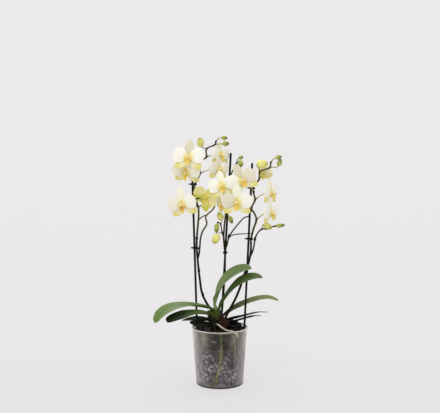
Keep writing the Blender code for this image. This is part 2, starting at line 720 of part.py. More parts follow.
def build_spike(name, material):
    plan = SPIKES[name]
    pieces = []
    for foot, tip, route in plan["stems"]:
        path = trimmed(smooth_path([point(*spot) for spot in route], 4), 0.9 * MM)
        pieces.append(tube("stem", path, taper(path, foot * MM, tip * MM)))
    for number, spot in plan["blooms"]:
        start = point(*spot)
        end, forward = bloom_back(number)
        path = stalk_path(start, end - forward * 1.8 * MM, forward) + [end]
        pieces.append(tube("stalk", path, taper(path, PEDICEL_RADIUS * 1.15, PEDICEL_RADIUS)))
        lean = ((end - start).normalized() + UP).normalized()
        pieces.append(bract(start, 1.6 * MM, lean))
    for spot, base, direction, half_width, half_length in plan["buds"]:
        start, end, way = point(*spot), point(*base), Vector(direction).normalized()
        path = stalk_path(start, end + way * 1.5 * MM, way)
        pieces.append(tube("stalk", path, taper(path, PEDICEL_RADIUS, PEDICEL_RADIUS)))
        pieces.append(bud_mesh(end, way, half_width, half_length))
    return fuse(name, pieces, material)


# ---------------------------------------------------------------- clips

# name: stake, the centre of the stem where the clip holds it, in millimetres
CLIPS = {
    "clip_left_lower": ("stake_left", (-48.6, 4.2, 292)),
    "clip_left_upper": ("stake_left", (-52.2, 5.4, 428)),
    "clip_middle": ("stake_middle", (11, 16.8, 280)),
    "clip_right_lower": ("stake_right", (66.2, 2.6, 312)),
    "clip_right_upper": ("stake_right", (70.1, 1.8, 420)),
}
CLIP_HEIGHT = 3.6 * MM
CLIP_BAND = 1.2 * MM
CLIP_CLEARANCE = 0.8 * MM
CLIP_STEPS = 3


def build_clip(name, material):
    """A sprung claw: an oval band round stake and stem, and two finger ears behind it."""
    stake, spot = CLIPS[name]
    held = point(*spot)
    centre = stake_at(stake, held.z)
    reach = held - centre
    length = reach.length
    inner = STAKE_RADIUS + CLIP_CLEARANCE
    outline = []
    for start, shift in ((math.pi / 2, 0), (-math.pi / 2, length)):
        for index in range(CLIP_STEPS + 1):
            angle = start + math.pi * index / CLIP_STEPS
            outline.append((shift + inner * math.cos(angle), inner * math.sin(angle), -CLIP_HEIGHT / 2))
    bm = bmesh.new()
    verts = [bm.verts.new(spot) for spot in outline]
    edges = [bm.edges.new(pair) for pair in zip(verts, verts[1:] + verts[:1])]
    raised = bmesh.ops.extrude_edge_only(bm, edges=edges)["geom"]
    top = [item for item in raised if isinstance(item, bmesh.types.BMVert)]
    bmesh.ops.translate(bm, vec=(0, 0, CLIP_HEIGHT), verts=top)
    bmesh.ops.recalc_face_normals(bm, faces=bm.faces)
    band = object_from("band", mesh_of(bm, "band"))
    wall = band.modifiers.new("wall", "SOLIDIFY")
    wall.thickness = CLIP_BAND
    wall.offset = 1
    band = bake(band)
    ears = []
    for side in (1, -1):
        bm = bmesh.new()
        bmesh.ops.create_cube(bm, size=1)
        shape = Matrix.Diagonal((5.4 * MM, 1.1 * MM, CLIP_HEIGHT * 0.8, 1))
        place = Matrix.Translation((-inner - 1.9 * MM, side * 2.2 * MM, 0))
        slope = Matrix.Rotation(-side * 0.5, 4, "Z")
        bmesh.ops.transform(bm, matrix=place @ slope @ shape, verts=bm.verts)
        ears.append(object_from("ear", mesh_of(bm, "ear")))
    clip = fuse(name, [band, *ears], material, "EXACT")
    turn = Matrix.Rotation(math.atan2(reach.y, reach.x), 4, "Z")
    clip.matrix_world = Matrix.Translation(centre) @ turn
    return clip


# ---------------------------------------------------------------- bark


def build_bark(material):
    """The fill of bark chips: a plug that fits the pot, dips round the crown and is heaped behind it to the
    right, with loose chips on its top and holes for what stands in it."""
    inset = POT_WALL + 0.6 * MM
    base = 2.2 * MM
    foot = POT_BASE_RADIUS - inset - 3.2 * MM
    side = 6.5 * MM
    profile = [
        (0, BARK_TOP - BARK_HOLLOW),
        (20 * MM, BARK_TOP - BARK_HOLLOW),
        (33 * MM, BARK_TOP),
        (wall_radius(BARK_TOP) - inset - 6 * MM, BARK_TOP),
        (wall_radius(BARK_TOP) - inset, BARK_TOP - 3 * MM),
        (wall_radius(side) - inset, side),
        (foot, base),
        (0, base),
    ]
    plug = turned("bark", profile, 18)
    draw = random.Random(11)
    chips = [ball("heap", Vector((21, 15, 12)) * MM, Matrix.Translation(point(25, 23, 117)), 9, 5)]
    golden = math.pi * (3 - math.sqrt(5))
    for index in range(BARK_CHIPS):
        radius = (27 + 20 * (index + 0.5) / BARK_CHIPS) * MM
        angle = golden * index
        size = Vector((draw.uniform(9, 15), draw.uniform(6, 10), draw.uniform(4.5, 7))) * MM
        bm = bmesh.new()
        bmesh.ops.create_cube(bm, size=1)
        for vert in bm.verts:
            vert.co += Vector([draw.uniform(-0.12, 0.12) for _ in range(3)])
        turn = Matrix.Rotation(draw.uniform(0, math.tau), 4, "Z")
        turn @= Matrix.Rotation(draw.uniform(-0.35, 0.35), 4, "X")
        spot = Vector((radius * math.cos(angle), radius * math.sin(angle), BARK_TOP - 0.5 * MM))
        place = Matrix.Translation(spot) @ turn @ Matrix.Diagonal((*size, 1))
        bmesh.ops.transform(bm, matrix=place, verts=bm.verts)
        chips.append(object_from("chip", mesh_of(bm, "chip")))
    bark = combine(plug, chips, "UNION", "MANIFOLD")
    bark.name = "bark"
    holes = [*root_tubes(SURFACE_GAP), root_knob(2 * SURFACE_GAP)]
    for foot_place, tip in STAKES.values():
        along = (tip - foot_place).normalized()
        path = [foot_place - along * SURFACE_GAP, foot_place.lerp(tip, 0.5)]
        holes.append(tube("hole", path, [STAKE_RADIUS + 0.5 * MM] * 2, 2))
    holes.append(crown_core(SURFACE_GAP))
    bark = combine(bark, holes, "DIFFERENCE", "MANIFOLD")
    bark.name = bark.data.name = "bark"
    bark.data.materials.clear()
    bark.data.materials.append(material)
    return bark


# ---------------------------------------------------------------- build

clear_scene()
orchid = new_collection("potted_orchid")
clear_plastic = new_material("clear_plastic", (0.80, 0.79, 0.77), 0.25, 0.4)
black_plastic = new_material("black_plastic", (0.012, 0.014, 0.012), 0.35)
bark_brown = new_material("bark_brown", (0.085, 0.060, 0.050), 0.85)
root_green = new_material("root_green", (0.20, 0.22, 0.09), 0.6)
crown_green = new_material("crown_green", (0.16, 0.20, 0.05), 0.5)
sheath_brown = new_material("sheath_brown", (0.10, 0.03, 0.015), 0.7)
leaf_green = new_material("leaf_green", (0.10, 0.19, 0.06), 0.42)
stem_olive = new_material("stem_olive", (0.09, 0.10, 0.03), 0.55)
petal_flesh = new_material("petal_flesh", (0.92, 0.90, 0.72), 0.5)
lip_flesh = new_material("lip_flesh", (0.80, 0.56, 0.08), 0.5)

build_pot()
build_bark(bark_brown)
roots = fuse("roots", [root_knob(0), *root_tubes(0)], root_green)
build_crown(crown_green)
build_dry_sheath(sheath_brown)
for leaf_name in LEAVES:
    build_leaf(leaf_name, leaf_green)
for stake_name in STAKES:
    build_stake(stake_name, STAKE_RADIUS, black_plastic)
for clip_name in CLIPS:
    build_clip(clip_name, black_plastic)
build_blooms()
for spike_name in SPIKES:
    build_spike(spike_name, stem_olive)
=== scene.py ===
import math
import random
from functools import partial

import bmesh
import bpy
from mathutils import Matrix, Vector, kdtree


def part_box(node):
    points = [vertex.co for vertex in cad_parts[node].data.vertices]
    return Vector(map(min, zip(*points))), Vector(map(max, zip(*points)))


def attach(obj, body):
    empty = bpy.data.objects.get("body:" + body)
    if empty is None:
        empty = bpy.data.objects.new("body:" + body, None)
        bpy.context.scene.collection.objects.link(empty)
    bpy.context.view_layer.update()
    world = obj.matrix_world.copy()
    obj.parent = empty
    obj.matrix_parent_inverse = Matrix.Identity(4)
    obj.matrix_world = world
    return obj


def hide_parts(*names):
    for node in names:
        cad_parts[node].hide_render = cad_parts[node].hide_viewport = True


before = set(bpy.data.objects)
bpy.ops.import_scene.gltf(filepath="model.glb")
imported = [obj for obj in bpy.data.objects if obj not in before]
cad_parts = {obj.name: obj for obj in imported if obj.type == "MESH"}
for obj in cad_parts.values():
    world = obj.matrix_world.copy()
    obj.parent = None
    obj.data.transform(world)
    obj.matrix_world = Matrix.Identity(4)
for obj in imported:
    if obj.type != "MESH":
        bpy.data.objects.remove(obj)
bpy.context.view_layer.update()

# A potted moth orchid, finished from the pot up. Lengths in the tables are millimetres, and the
# plant's open side looks along -Y.

# ---------------------------------------------------------------- nursery pot
# The pot is one thin shell of clear polypropylene, injection moulded, with a rolled rim, a round
# foot and drain holes. Warm wet bark fogs its inside wall in patches, and where a root lies against the wall
# it stays clear.

MM = 0.001
UP = Vector((0, 0, 1))
POT_HEIGHT = 124 * MM
RIM_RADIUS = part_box("pot")[1].x
RIM_OVERHANG = 1.6 * MM
TOP_RADIUS = RIM_RADIUS - RIM_OVERHANG
BASE_RADIUS = RIM_RADIUS * 5 / 6
WALL = 1.0 * MM
POT_STEPS = 160
DRAIN_RADIUS = 4 * MM
DRAIN_CIRCLE = 34 * MM
DRAIN_COUNT = 6
DRAIN_DEPTH = 8 * MM

# Radius at foot, radius at tip and route of each root. They start under the crown and run through
# the bark or over it.
ROOTS = {
    "front": (4.7, 4.3, [(5, 0, 94), (4, -24, 108), (2.8, -43, 115), (2.7, -50.2, 113), (2.8, -50.4, 103),
                         (2.8, -49.8, 90), (2.4, -48.7, 74), (1.2, -47.4, 56), (-1.6, -46, 40),
                         (-6.2, -44.4, 22), (-9, -42.4, 9)]),
    "right": (3.2, 2.4, [(5, 0, 94), (18, -20, 105), (28, -40, 108), (31.2, -42.4, 98), (31.6, -41, 84),
                         (32, -39.2, 68)]),
    "left": (2.6, 1.7, [(5, 0, 94), (-16, -14, 96), (-37, -29, 60), (-36, -28.6, 30), (-29, -34, 8),
                        (-15, -41.2, 6.4)]),
    "across": (1.8, 1.4, [(5, 0, 94), (-10, -22, 102), (-21, -43, 104), (-16, -49.6, 103),
                          (-8, -51.6, 102.4)]),
    "back": (2.8, 2.0, [(5, 0, 94), (13, 20, 92), (8, 38, 90), (-4, 46.6, 84), (-14, 45, 62), (-8, 45, 26)]),
    "side": (2.6, 1.9, [(5, 0, 94), (22, 14, 90), (46.5, 19, 76), (44, 18, 44), (38, 24, 20)]),
    "aerial": (2.3, 1.1, [(5, 0, 94), (-3, -13, 104), (-10, -18.5, 118), (-11, -19, 132), (-4, -24, 133.4),
                          (5.5, -34, 128.4), (13, -45, 126.6), (20, -54, 126.8), (26, -56.8, 126.6),
                          (31.5, -55, 123), (35.5, -51.8, 118.5), (38, -49.4, 114.5)]),
}


def linear(code):
    """An sRGB hex colour as linear RGBA."""
    shares = [int(code[place : place + 2], 16) / 255 for place in (1, 3, 5)]
    return (*[s / 12.92 if s <= 0.04045 else ((s + 0.055) / 1.055) ** 2.4 for s in shares], 1)


def feed(made, inputs):
    """Fills a node's inputs, each with a value, a hex colour or another node's output."""
    for name, value in inputs.items():
        if isinstance(value, bpy.types.NodeSocket):
            made.id_data.links.new(value, made.inputs[name])
        else:
            made.inputs[name].default_value = linear(value) if isinstance(value, str) else value


def add_node(tree, kind, inputs=None, out=0, stops=None, **settings):
    """Adds a shader node with its settings, its inputs and its colour stops, and returns one of its outputs.

    Sockets that share a name go by number. Map Range: 1 and 2 are the low and high it takes, 3 and 4 the low
    and high it gives. Mix: 0 is the share of the second, and the pair is 2 and 3, or 6 and 7 for colours.
    """
    made = tree.nodes.new("ShaderNode" + kind)
    for name, value in settings.items():
        setattr(made, name, value)
    if stops:
        ends = made.color_ramp.elements
        ends[0].position, ends[0].color = stops[0][0], linear(stops[0][1])
        ends[1].position, ends[1].color = stops[-1][0], linear(stops[-1][1])
        for place, colour in stops[1:-1]:
            ends.new(place).color = linear(colour)
    feed(made, inputs or {})
    return made.outputs[out]


def new_material(name, **uniform):
    """A Principled material, the function that adds its nodes, and its shader. uniform gives the shader's own
    values, with _ for each space in a name."""
    made = bpy.data.materials.new(name)
    made.use_nodes = True
    shader = made.node_tree.nodes["Principled BSDF"]
    feed(shader, {key.replace("_", " "): value for key, value in uniform.items()})
    return made, partial(add_node, made.node_tree), shader


def new_form(*traits):
    """A bmesh whose points carry the named traits, for the material to read, and a lift for thin blades."""
    bm = bmesh.new()
    bm.loops.layers.uv.verify()
    bm.verts.layers.float_vector.new("lift")
    for trait in traits:
        bm.verts.layers.float.new(trait)
    return bm


def set_trait(bm, verts, trait, value):
    """Gives each of the points its value of a trait: one value for all, or a function of the place."""
    layer = bm.verts.layers.float[trait]
    for vert in verts:
        vert[layer] = value(vert.co) if callable(value) else value


def new_object(name, data):
    """A new object in the scene."""
    made = bpy.data.objects.new(name, data)
    bpy.context.scene.collection.objects.link(made)
    return made


def new_mesh_object(name, bm):
    """A form as an object in the scene. The form is used up."""
    mesh = bpy.data.meshes.new(name)
    bm.to_mesh(mesh)
    bm.free()
    return new_object(name, mesh)


def finish_piece(name, bm, material, slot, *nodes, sharp=50):
    """Closes a form as a piece of the plant that stands for its nodes in the frame. Edges over sharp degrees
    stay sharp."""
    bm.verts.layers.float_vector.remove(bm.verts.layers.float_vector["lift"])
    bmesh.ops.recalc_face_normals(bm, faces=bm.faces)
    piece = new_mesh_object(name, bm)
    piece.data.materials.append(material)
    piece.data.shade_smooth()
    piece.data.set_sharp_from_angle(angle=math.radians(sharp))
    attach(piece, "root")
    if nodes:
        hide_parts(*nodes)
    return piece


def point(x, y, z):
    """A point given in millimetres."""
    return Vector((x, y, z)) * MM


def smooth_path(points, per_span):
    """A Catmull-Rom curve through the points, with per_span steps from each to the next."""
    ends = [2 * points[0] - points[1], *points, 2 * points[-1] - points[-2]]
    path = []
    for a, b, c, d in zip(ends, ends[1:], ends[2:], ends[3:]):
        for step in range(per_span):
            t = step / per_span
            bend = (2 * a - 5 * b + 4 * c - d) * t**2 + (3 * b - a - 3 * c + d) * t**3
            path.append(0.5 * (2 * b + (c - a) * t + bend))
    path.append(points[-1].copy())
    return path


def shares(path):
    """How far along the path each of its points is, from 0 to 1."""
    travelled = [0.0]
    for before, after in zip(path, path[1:]):
        travelled.append(travelled[-1] + (after - before).length)
    return [distance / travelled[-1] for distance in travelled]


def wall_radius(z):
    """The pot's outer radius at height z, below the rim."""
    return BASE_RADIUS + (TOP_RADIUS - BASE_RADIUS) * z / POT_HEIGHT


def smooth_step(low, high, x):
    """0 up to low and 1 from high on, with an eased climb between."""
    t = min(max((x - low) / (high - low), 0), 1)
    return t * t * (3 - 2 * t)


root_routes = {name: smooth_path([point(*spot) for spot in route], 10)
               for name, (_, _, route) in ROOTS.items()}
root_spots = [spot for name, route in root_routes.items() if name != "aerial" for spot in route]
near_root = kdtree.KDTree(len(root_spots))
for index, spot in enumerate(root_spots):
    near_root.insert(spot, index)
near_root.balance()

# The inside from the axis up, round the rolled rim, and down the outside to the foot
RIM_DEPTH = 3.2 * MM
ROLL = 1.4 * MM  # half the rolled rim's height
ROLL_STEPS = 8
FLOOR = 1.4 * MM
FOOT = 3 * MM
FOOT_STEPS = 5
FOOT_RING = [(0.1, 2.2), (0.5, 1), (1.4, 0.2), (2.2, 0), (3.6, 0), (4.4, 0.4)]  # in from the foot's side, up
WALL_ROWS = 44
FOG_FROM_ROOT = 4.2 * MM  # from the middle of a root to where the fog starts, then to its full strength
FOG_FULL = 8 * MM
inside_foot = BASE_RADIUS - WALL
rim_base = POT_HEIGHT - RIM_DEPTH
outline = [(0, FLOOR), (inside_foot - FOOT, FLOOR)]
for index in range(1, FOOT_STEPS):
    angle = math.pi / 2 * index / FOOT_STEPS
    outline.append((inside_foot - FOOT + FOOT * math.sin(angle), FLOOR + FOOT * (1 - math.cos(angle))))
for index in range(WALL_ROWS + 1):
    z = FLOOR + FOOT + (rim_base - FLOOR - FOOT) * index / WALL_ROWS
    outline.append((wall_radius(z) - WALL, z))
rim_middle = (TOP_RADIUS - WALL + RIM_RADIUS) / 2
rim_reach = (RIM_RADIUS - TOP_RADIUS + WALL) / 2
for index in range(ROLL_STEPS + 1):
    angle = math.pi * (1 - index / ROLL_STEPS)
    outline.append((rim_middle + rim_reach * math.cos(angle), POT_HEIGHT - ROLL + ROLL * math.sin(angle)))
outline += [(RIM_RADIUS - 0.1 * MM, rim_base), (RIM_RADIUS - 0.6 * MM, rim_base - 0.4 * MM)]
for index in range(WALL_ROWS + 1):
    z = rim_base - 0.6 * MM - (rim_base - FOOT - 2 * MM) * index / WALL_ROWS
    outline.append((wall_radius(z), z))
outline += [(BASE_RADIUS - inset * MM, height * MM) for inset, height in FOOT_RING]
outline.append((0, FOOT_RING[-1][1] * MM))


def turn_shell(bm, profile, steps):
    """Turns a (radius, height) profile once about Z."""
    verts = [bm.verts.new((radius, 0, z)) for radius, z in profile]
    edges = [bm.edges.new(pair) for pair in zip(verts, verts[1:])]
    bmesh.ops.spin(bm, geom=verts + edges, cent=(0, 0, 0), axis=(0, 0, 1), angle=math.tau, steps=steps,
                   use_merge=True)
    bmesh.ops.remove_doubles(bm, verts=bm.verts, dist=0.02 * MM)


pot_form = new_form("fog", "rim")
turn_shell(pot_form, outline, POT_STEPS)
set_trait(pot_form, pot_form.verts, "fog",
          lambda at: smooth_step(FOG_FROM_ROOT, FOG_FULL, near_root.find(at)[2]))
set_trait(pot_form, pot_form.verts, "rim",
          lambda at: smooth_step(rim_base + 0.6 * MM, rim_base + 1.8 * MM, at.z))

# Polypropylene, injection moulded and fogged from inside: nearly clear. Single beads of water are too fine
# to show, so they are drawn run together, in pale grey lumps 5 to 8 mm across on the lower wall, most at its
# sides and fewer near a root or the foot. An even brown-green film hangs under the rim, a line of silt marks
# the foot, and the wall turns milky where it curves away.
fogged_plastic, node, shader = new_material("clear_moulded_polypropylene", Roughness=0.3, IOR=1.49)
place = node("TexCoord", out="Object")
swirl = node("TexNoise", {"Vector": place, "Scale": 95, "Detail": 3})
wander = node("VectorMath", {0: swirl.node.outputs["Color"], "Scale": 0.006}, operation="SCALE")
wander = node("VectorMath", {0: place, 1: wander}, operation="ADD")
lumps = node("TexVoronoi", {"Vector": wander, "Scale": 105}, feature="DISTANCE_TO_EDGE")
lump = node("MapRange", {"Value": lumps, 1: 0.04, 2: 0.26})
region = node("TexNoise", {"Vector": place, "Scale": 34, "Detail": 2})
region = node("MapRange", {"Value": region, 1: 0.40, 2: 0.58})
height = node("SeparateXYZ", {"Vector": place}, out="Z")
across = node("Math", {0: height.node.outputs["X"]}, operation="ABSOLUTE")
sides = node("MapRange", {"Value": across, 1: 0.006, 2: 0.028, 3: 0.45, 4: 1.0})
low = node("MapRange", {"Value": height, 1: 0.096, 2: 0.066})
wet = node("Math", {0: lump, 1: region}, operation="MULTIPLY")
wet = node("Math", {0: wet, 1: low}, operation="MULTIPLY")
wet = node("Math", {0: wet, 1: sides}, operation="MULTIPLY")
dirty = node("MapRange", {"Value": height, 1: 0.004, 2: 0.045, 3: 0.5, 4: 1.0})
wet = node("Math", {0: wet, 1: dirty}, operation="MULTIPLY")
clear = node("Attribute", out="Fac", attribute_name="fog")
clear = node("MapRange", {"Value": clear, 3: 0.25, 4: 1.0})
haze = node("MapRange", {"Value": wet, 3: 0.06, 4: 0.56})
haze = node("Math", {0: haze, 1: clear}, operation="MULTIPLY")
edge = node("LayerWeight", {"Blend": 0.5}, out="Facing")
edge = node("MapRange", {"Value": edge, 1: 0.12, 2: 0.75, 3: 0.0, 4: 0.62})
rim = node("Attribute", out="Fac", attribute_name="rim")
cover = node("Math", {0: haze, 1: edge}, operation="MAXIMUM")
film = node("MapRange", {"Value": height, 1: 0.072, 2: 0.098, 3: 0.0, 4: 0.42})
film = node("Math", {0: film, 1: clear}, operation="MULTIPLY")
film = node("MapRange", {"Value": rim, 3: film, 4: 0.0})
film_share = node("MapRange", {"Value": cover, 1: 0.08, 2: 0.45, 3: 1.0, 4: 0.0})
film = node("Math", {0: film, 1: film_share}, operation="MULTIPLY")
cover = node("Math", {0: cover, 1: film}, operation="MAXIMUM")
silt = node("MapRange", {"Value": height, 1: 0.008, 2: 0.0035})
cover = node("Mix", {0: silt, 2: cover, 3: 0.8})
cover = node("Math", {0: rim, 1: 0.55, 2: cover}, operation="MULTIPLY_ADD", use_clamp=True)
tint = node("ValToRGB", {"Fac": swirl}, stops=[(0.35, "#aa9da3"), (0.65, "#d2cacd")])
milky = node("Math", {0: rim, 1: edge}, operation="MAXIMUM")
milk = node("Mix", {0: low, 6: "#dbd6ca", 7: "#a9a29b"}, out=2, data_type="RGBA")
paler = node("Mix", {0: milky, 6: tint, 7: milk}, out=2, data_type="RGBA")
flank = node("MapRange", {"Value": across, 1: 0.010, 2: 0.036})
algae = node("ValToRGB", {"Fac": flank}, stops=[(0.0, "#37332c"), (0.45, "#5c574c"), (1.0, "#b5afa4")])
film_tint = node("MapRange", {"Value": film, 1: 0.0, 2: 0.25})
colour = node("Mix", {0: film_tint, 6: paler, 7: algae}, out=2, data_type="RGBA")
colour = node("Mix", {0: silt, 6: colour, 7: "#211d11"}, out=2, data_type="RGBA")
bump = node("Bump", {"Height": lumps, "Strength": 0.12, "Distance": 0.0004})
feed(shader, {"Base Color": colour, "Alpha": cover, "Normal": bump})

pot_shell = finish_piece("pot_shell", pot_form, fogged_plastic, "clear_plastic", "pot", sharp=40)


def cut_holes(piece, cutter_form):
    """Cuts the form from the piece in one Boolean, which is applied."""
    cutter = new_mesh_object("cutter", cutter_form)
    modifier = piece.modifiers.new("holes", "BOOLEAN")
    modifier.operation = "DIFFERENCE"
    modifier.object = cutter
    bpy.context.view_layer.update()
    cut = bpy.data.meshes.new_from_object(piece.evaluated_get(bpy.context.evaluated_depsgraph_get()))
    piece.modifiers.clear()
    piece.data = cut
    bpy.data.objects.remove(cutter)


drains = bmesh.new()
for index in range(DRAIN_COUNT):
    angle = math.tau * (index + 0.5) / DRAIN_COUNT
    spot = Vector((DRAIN_CIRCLE * math.cos(angle), DRAIN_CIRCLE * math.sin(angle), 0))
    bmesh.ops.create_cone(drains, cap_ends=True, segments=24, radius1=DRAIN_RADIUS, radius2=DRAIN_RADIUS,
                          depth=DRAIN_DEPTH, matrix=Matrix.Translation(spot))
cut_holes(pot_shell, drains)

# ---------------------------------------------------------------- bark
# The fill is coarse orchid bark: flat broken chips of pine bark, packed against the wall and heaped
# loosely at the top. One dark plug stands in for the chips that nothing shows of.

BARK_TOP = 118 * MM
PLUG_DEPTH = 10 * MM  # from the bark's top down to the plug
PLUG_STEPS = 48
CHIP_GAP = 0.35 * MM
WALL_RINGS = 19
WALL_LOW, WALL_SPAN = 7, 104  # mm: the height of the lowest ring of chips, and of all the rings together
CHIPS_ROUND = 38
TOP_CHIPS = 150
TOP_REACH = 51 * MM
OUT_OF_TRUE = 0.16  # how far a chip's corners are knocked about, as a share of its size
CHIP_EDGE = 0.7 * MM
CHIP_ROOM = 5 * MM  # from a chip's middle to a root's
CROWN_ROOM = 12 * MM
STAKE_ROOM = 7 * MM
ROOT_ROOM = 5.4 * MM  # from any point of the bark to a root's middle
CROWN_FOOT = Vector((5, 0, 0)) * MM
STAKES = {
    "left": (point(-45.9, 9, 20), point(-57.6, 8, 438)),
    "middle": (point(-2.5, 22, 20), point(23.4, 22, 493)),
    "right": (point(50.7, 6.5, 75), point(68.1, 6, 473)),
}
STAKE_RADIUS = 2.3 * MM


def add_chip(bm, spot, turn, size, tone, draw):
    """A broken chip: a block knocked out of true. Returns its points."""
    chip = bmesh.ops.create_cube(bm, size=1)["verts"]
    for vert in chip:
        vert.co += Vector([draw.uniform(-OUT_OF_TRUE, OUT_OF_TRUE) for _ in range(3)])
    bmesh.ops.transform(bm, matrix=Matrix.LocRotScale(spot, turn, size), verts=chip)
    set_trait(bm, chip, "tone", tone)
    return chip


def edges_of(verts):
    """The edges at the points, each once, in the same order on every run."""
    return list(dict.fromkeys(edge for vert in verts for edge in vert.link_edges))


def bark_height(x, y):
    """The height of the bark's top: a hollow round the crown and a heap behind it to the right."""
    hollow = 7 * MM * (1 - smooth_step(16 * MM, 32 * MM, math.hypot(x, y)))
    heap = 10 * MM * math.exp(-(((x - 27 * MM) / (17 * MM)) ** 2) - ((y - 24 * MM) / (14 * MM)) ** 2)
    return BARK_TOP - hollow + heap + 5 * MM * smooth_step(10 * MM, 40 * MM, y)


bark_form = new_form("tone")
plug_top = BARK_TOP - PLUG_DEPTH
plug_outline = [(0, plug_top), (wall_radius(plug_top) - 7 * MM, plug_top),
                (BASE_RADIUS - 6.5 * MM, 6 * MM), (BASE_RADIUS - 9 * MM, 2.4 * MM), (0, 2.4 * MM)]
turn_shell(bark_form, plug_outline, PLUG_STEPS)
draw = random.Random(11)
chips = []
for ring in range(WALL_RINGS):
    for step in range(CHIPS_ROUND):
        z = (WALL_LOW + WALL_SPAN * (ring + draw.uniform(0.2, 0.8)) / WALL_RINGS) * MM
        angle = math.tau * (step + 0.5 * (ring % 2) + draw.uniform(-0.3, 0.3)) / CHIPS_ROUND
        out = wall_radius(z) - WALL - draw.uniform(1.6, 4.6) * MM
        spot = Vector((out * math.cos(angle), out * math.sin(angle), z))
        if near_root.find(spot)[2] < CHIP_ROOM:
            continue
        size = Vector((draw.uniform(3, 6), draw.uniform(5, 10.5), draw.uniform(3.5, 7.5))) * MM
        spin = Matrix.Rotation(angle, 3, "Z") @ Matrix.Rotation(draw.uniform(-1.5, 1.5), 3, "X")
        tilt = (Matrix.Rotation(draw.uniform(-0.5, 0.5), 3, "Z")
                @ Matrix.Rotation(draw.uniform(-0.35, 0.35), 3, "Y"))
        chips += add_chip(bark_form, spot, (spin @ tilt).to_quaternion(), size, draw.uniform(0.15, 1), draw)
golden = math.pi * (3 - math.sqrt(5))  # the turn from one top chip to the next spreads them evenly
for index in range(TOP_CHIPS):
    out = TOP_REACH * math.sqrt((index + 0.5) / TOP_CHIPS)
    spot = Vector((out * math.cos(golden * index), out * math.sin(golden * index), 0))
    spot.z = bark_height(spot.x, spot.y) + draw.uniform(-5, 0) * MM
    if (spot - CROWN_FOOT).to_2d().length < CROWN_ROOM or near_root.find(spot)[2] < CHIP_ROOM:
        continue
    if min((spot - foot.lerp(tip, 0.2)).to_2d().length for foot, tip in STAKES.values()) < STAKE_ROOM:
        continue
    size = Vector((draw.uniform(8, 16), draw.uniform(7, 11), draw.uniform(3.5, 7))) * MM
    turn = (Matrix.Rotation(draw.uniform(0, math.tau), 3, "Z")
            @ Matrix.Rotation(draw.uniform(-0.6, 0.6), 3, "X"))
    # The top chips take dark tones: partly wet bark, partly painted shade under the leaves.
    chips += add_chip(bark_form, spot, turn.to_quaternion(), size, draw.uniform(0, 0.3), draw)

bmesh.ops.bevel(bark_form, geom=edges_of(chips), offset=CHIP_EDGE, affect="EDGES", segments=1,
                profile=0.5, material=-1)
for vert in bark_form.verts:  # inside the wall, over the floor and off the roots
    centre, _, gap = near_root.find(vert.co)
    if gap < ROOT_ROOM:
        vert.co = centre + (vert.co - centre) * (ROOT_ROOM / max(gap, 0.4 * MM))
    limit = wall_radius(vert.co.z) - WALL - CHIP_GAP
    out = max(vert.co.to_2d().length, limit)
    vert.co.x *= limit / out
    vert.co.y *= limit / out
    vert.co.z = max(vert.co.z, FLOOR + CHIP_GAP)

# Pine bark, stripped, broken up and wet: red-brown to grey-brown chips, each its own tone, with dark fibres
# and a rough, slightly damp face. The chips on top are given darker tones, partly for wet bark and partly as
# painted shade under the leaves. The fibres are drawn 2 mm wide, coarser than they are, so that they show.
pine_bark, node, shader = new_material("wet_pine_bark", Roughness=0.72, Specular_IOR_Level=0.2)
place = node("TexCoord", out="Object")
tone = node("Attribute", out="Fac", attribute_name="tone")
grain = node("TexNoise", {"Vector": place, "Scale": 420, "Detail": 5, "Roughness": 0.65})
blotch = node("TexNoise", {"Vector": place, "Scale": 130, "Detail": 2})
mixed = node("Math", {0: grain, 1: 0.5, 2: -0.25}, operation="MULTIPLY_ADD")
mixed = node("Math", {0: tone, 1: mixed}, operation="ADD")
colour = node("ValToRGB", {"Fac": mixed}, stops=[(0.0, "#0a0807"), (0.35, "#1d1614"), (0.7, "#473c3e"),
                                                 (1.0, "#7c7075")])
damp = node("MapRange", {"Value": blotch, 1: 0.35, 2: 0.65, 3: 0.5, 4: 0.85})
bump = node("Bump", {"Height": grain, "Strength": 0.5, "Distance": 0.0008})
feed(shader, {"Base Color": colour, "Roughness": damp, "Normal": bump})
finish_piece("bark_chips", bark_form, pine_bark, "bark_brown", "bark", sharp=30)

# ---------------------------------------------------------------- roots
# Fleshy roots under a spongy skin: green where the pot keeps them wet, silvery where they hang in air.
# They run down inside the wall, and one lies over the bark to the rim.

SIDES = 14
ROOT_SWELLING = 0.22  # mm, thicker or thinner
ROOT_CENTRE = point(5, 0, 94)
ROOT_CENTRE_RADIUS = 7 * MM


def add_rod(bm, path, radii, sides=SIDES):
    """A closed round rod: a circle extruded from point to point of the path. Returns its points."""
    steps = [(after - before).normalized() for before, after in zip(path, path[1:])]
    ways = [steps[0], *[(a + b).normalized() for a, b in zip(steps, steps[1:])], steps[-1]]
    ring = bmesh.ops.create_circle(bm, cap_ends=True, segments=sides, radius=1)["verts"]
    rod = list(ring)
    edges = edges_of(ring)
    turn = UP.rotation_difference(ways[0])
    place = Matrix.LocRotScale(path[0], turn, Vector((1, 1, 1)) * radii[0])
    bmesh.ops.transform(bm, matrix=place, verts=ring)
    for spot, radius, before, after in zip(path[1:], radii[1:], ways, ways[1:]):
        grown = bmesh.ops.extrude_edge_only(bm, edges=edges)["geom"]
        ring = [item for item in grown if isinstance(item, bmesh.types.BMVert)]
        edges = [item for item in grown if isinstance(item, bmesh.types.BMEdge)
                 and all(vert in ring for vert in item.verts)]
        turn = before.rotation_difference(after) @ turn
        following = Matrix.LocRotScale(spot, turn, Vector((1, 1, 1)) * radius)
        bmesh.ops.transform(bm, matrix=following @ place.inverted(), verts=ring)
        place = following
        rod += ring
    bmesh.ops.contextual_create(bm, geom=edges)
    return rod


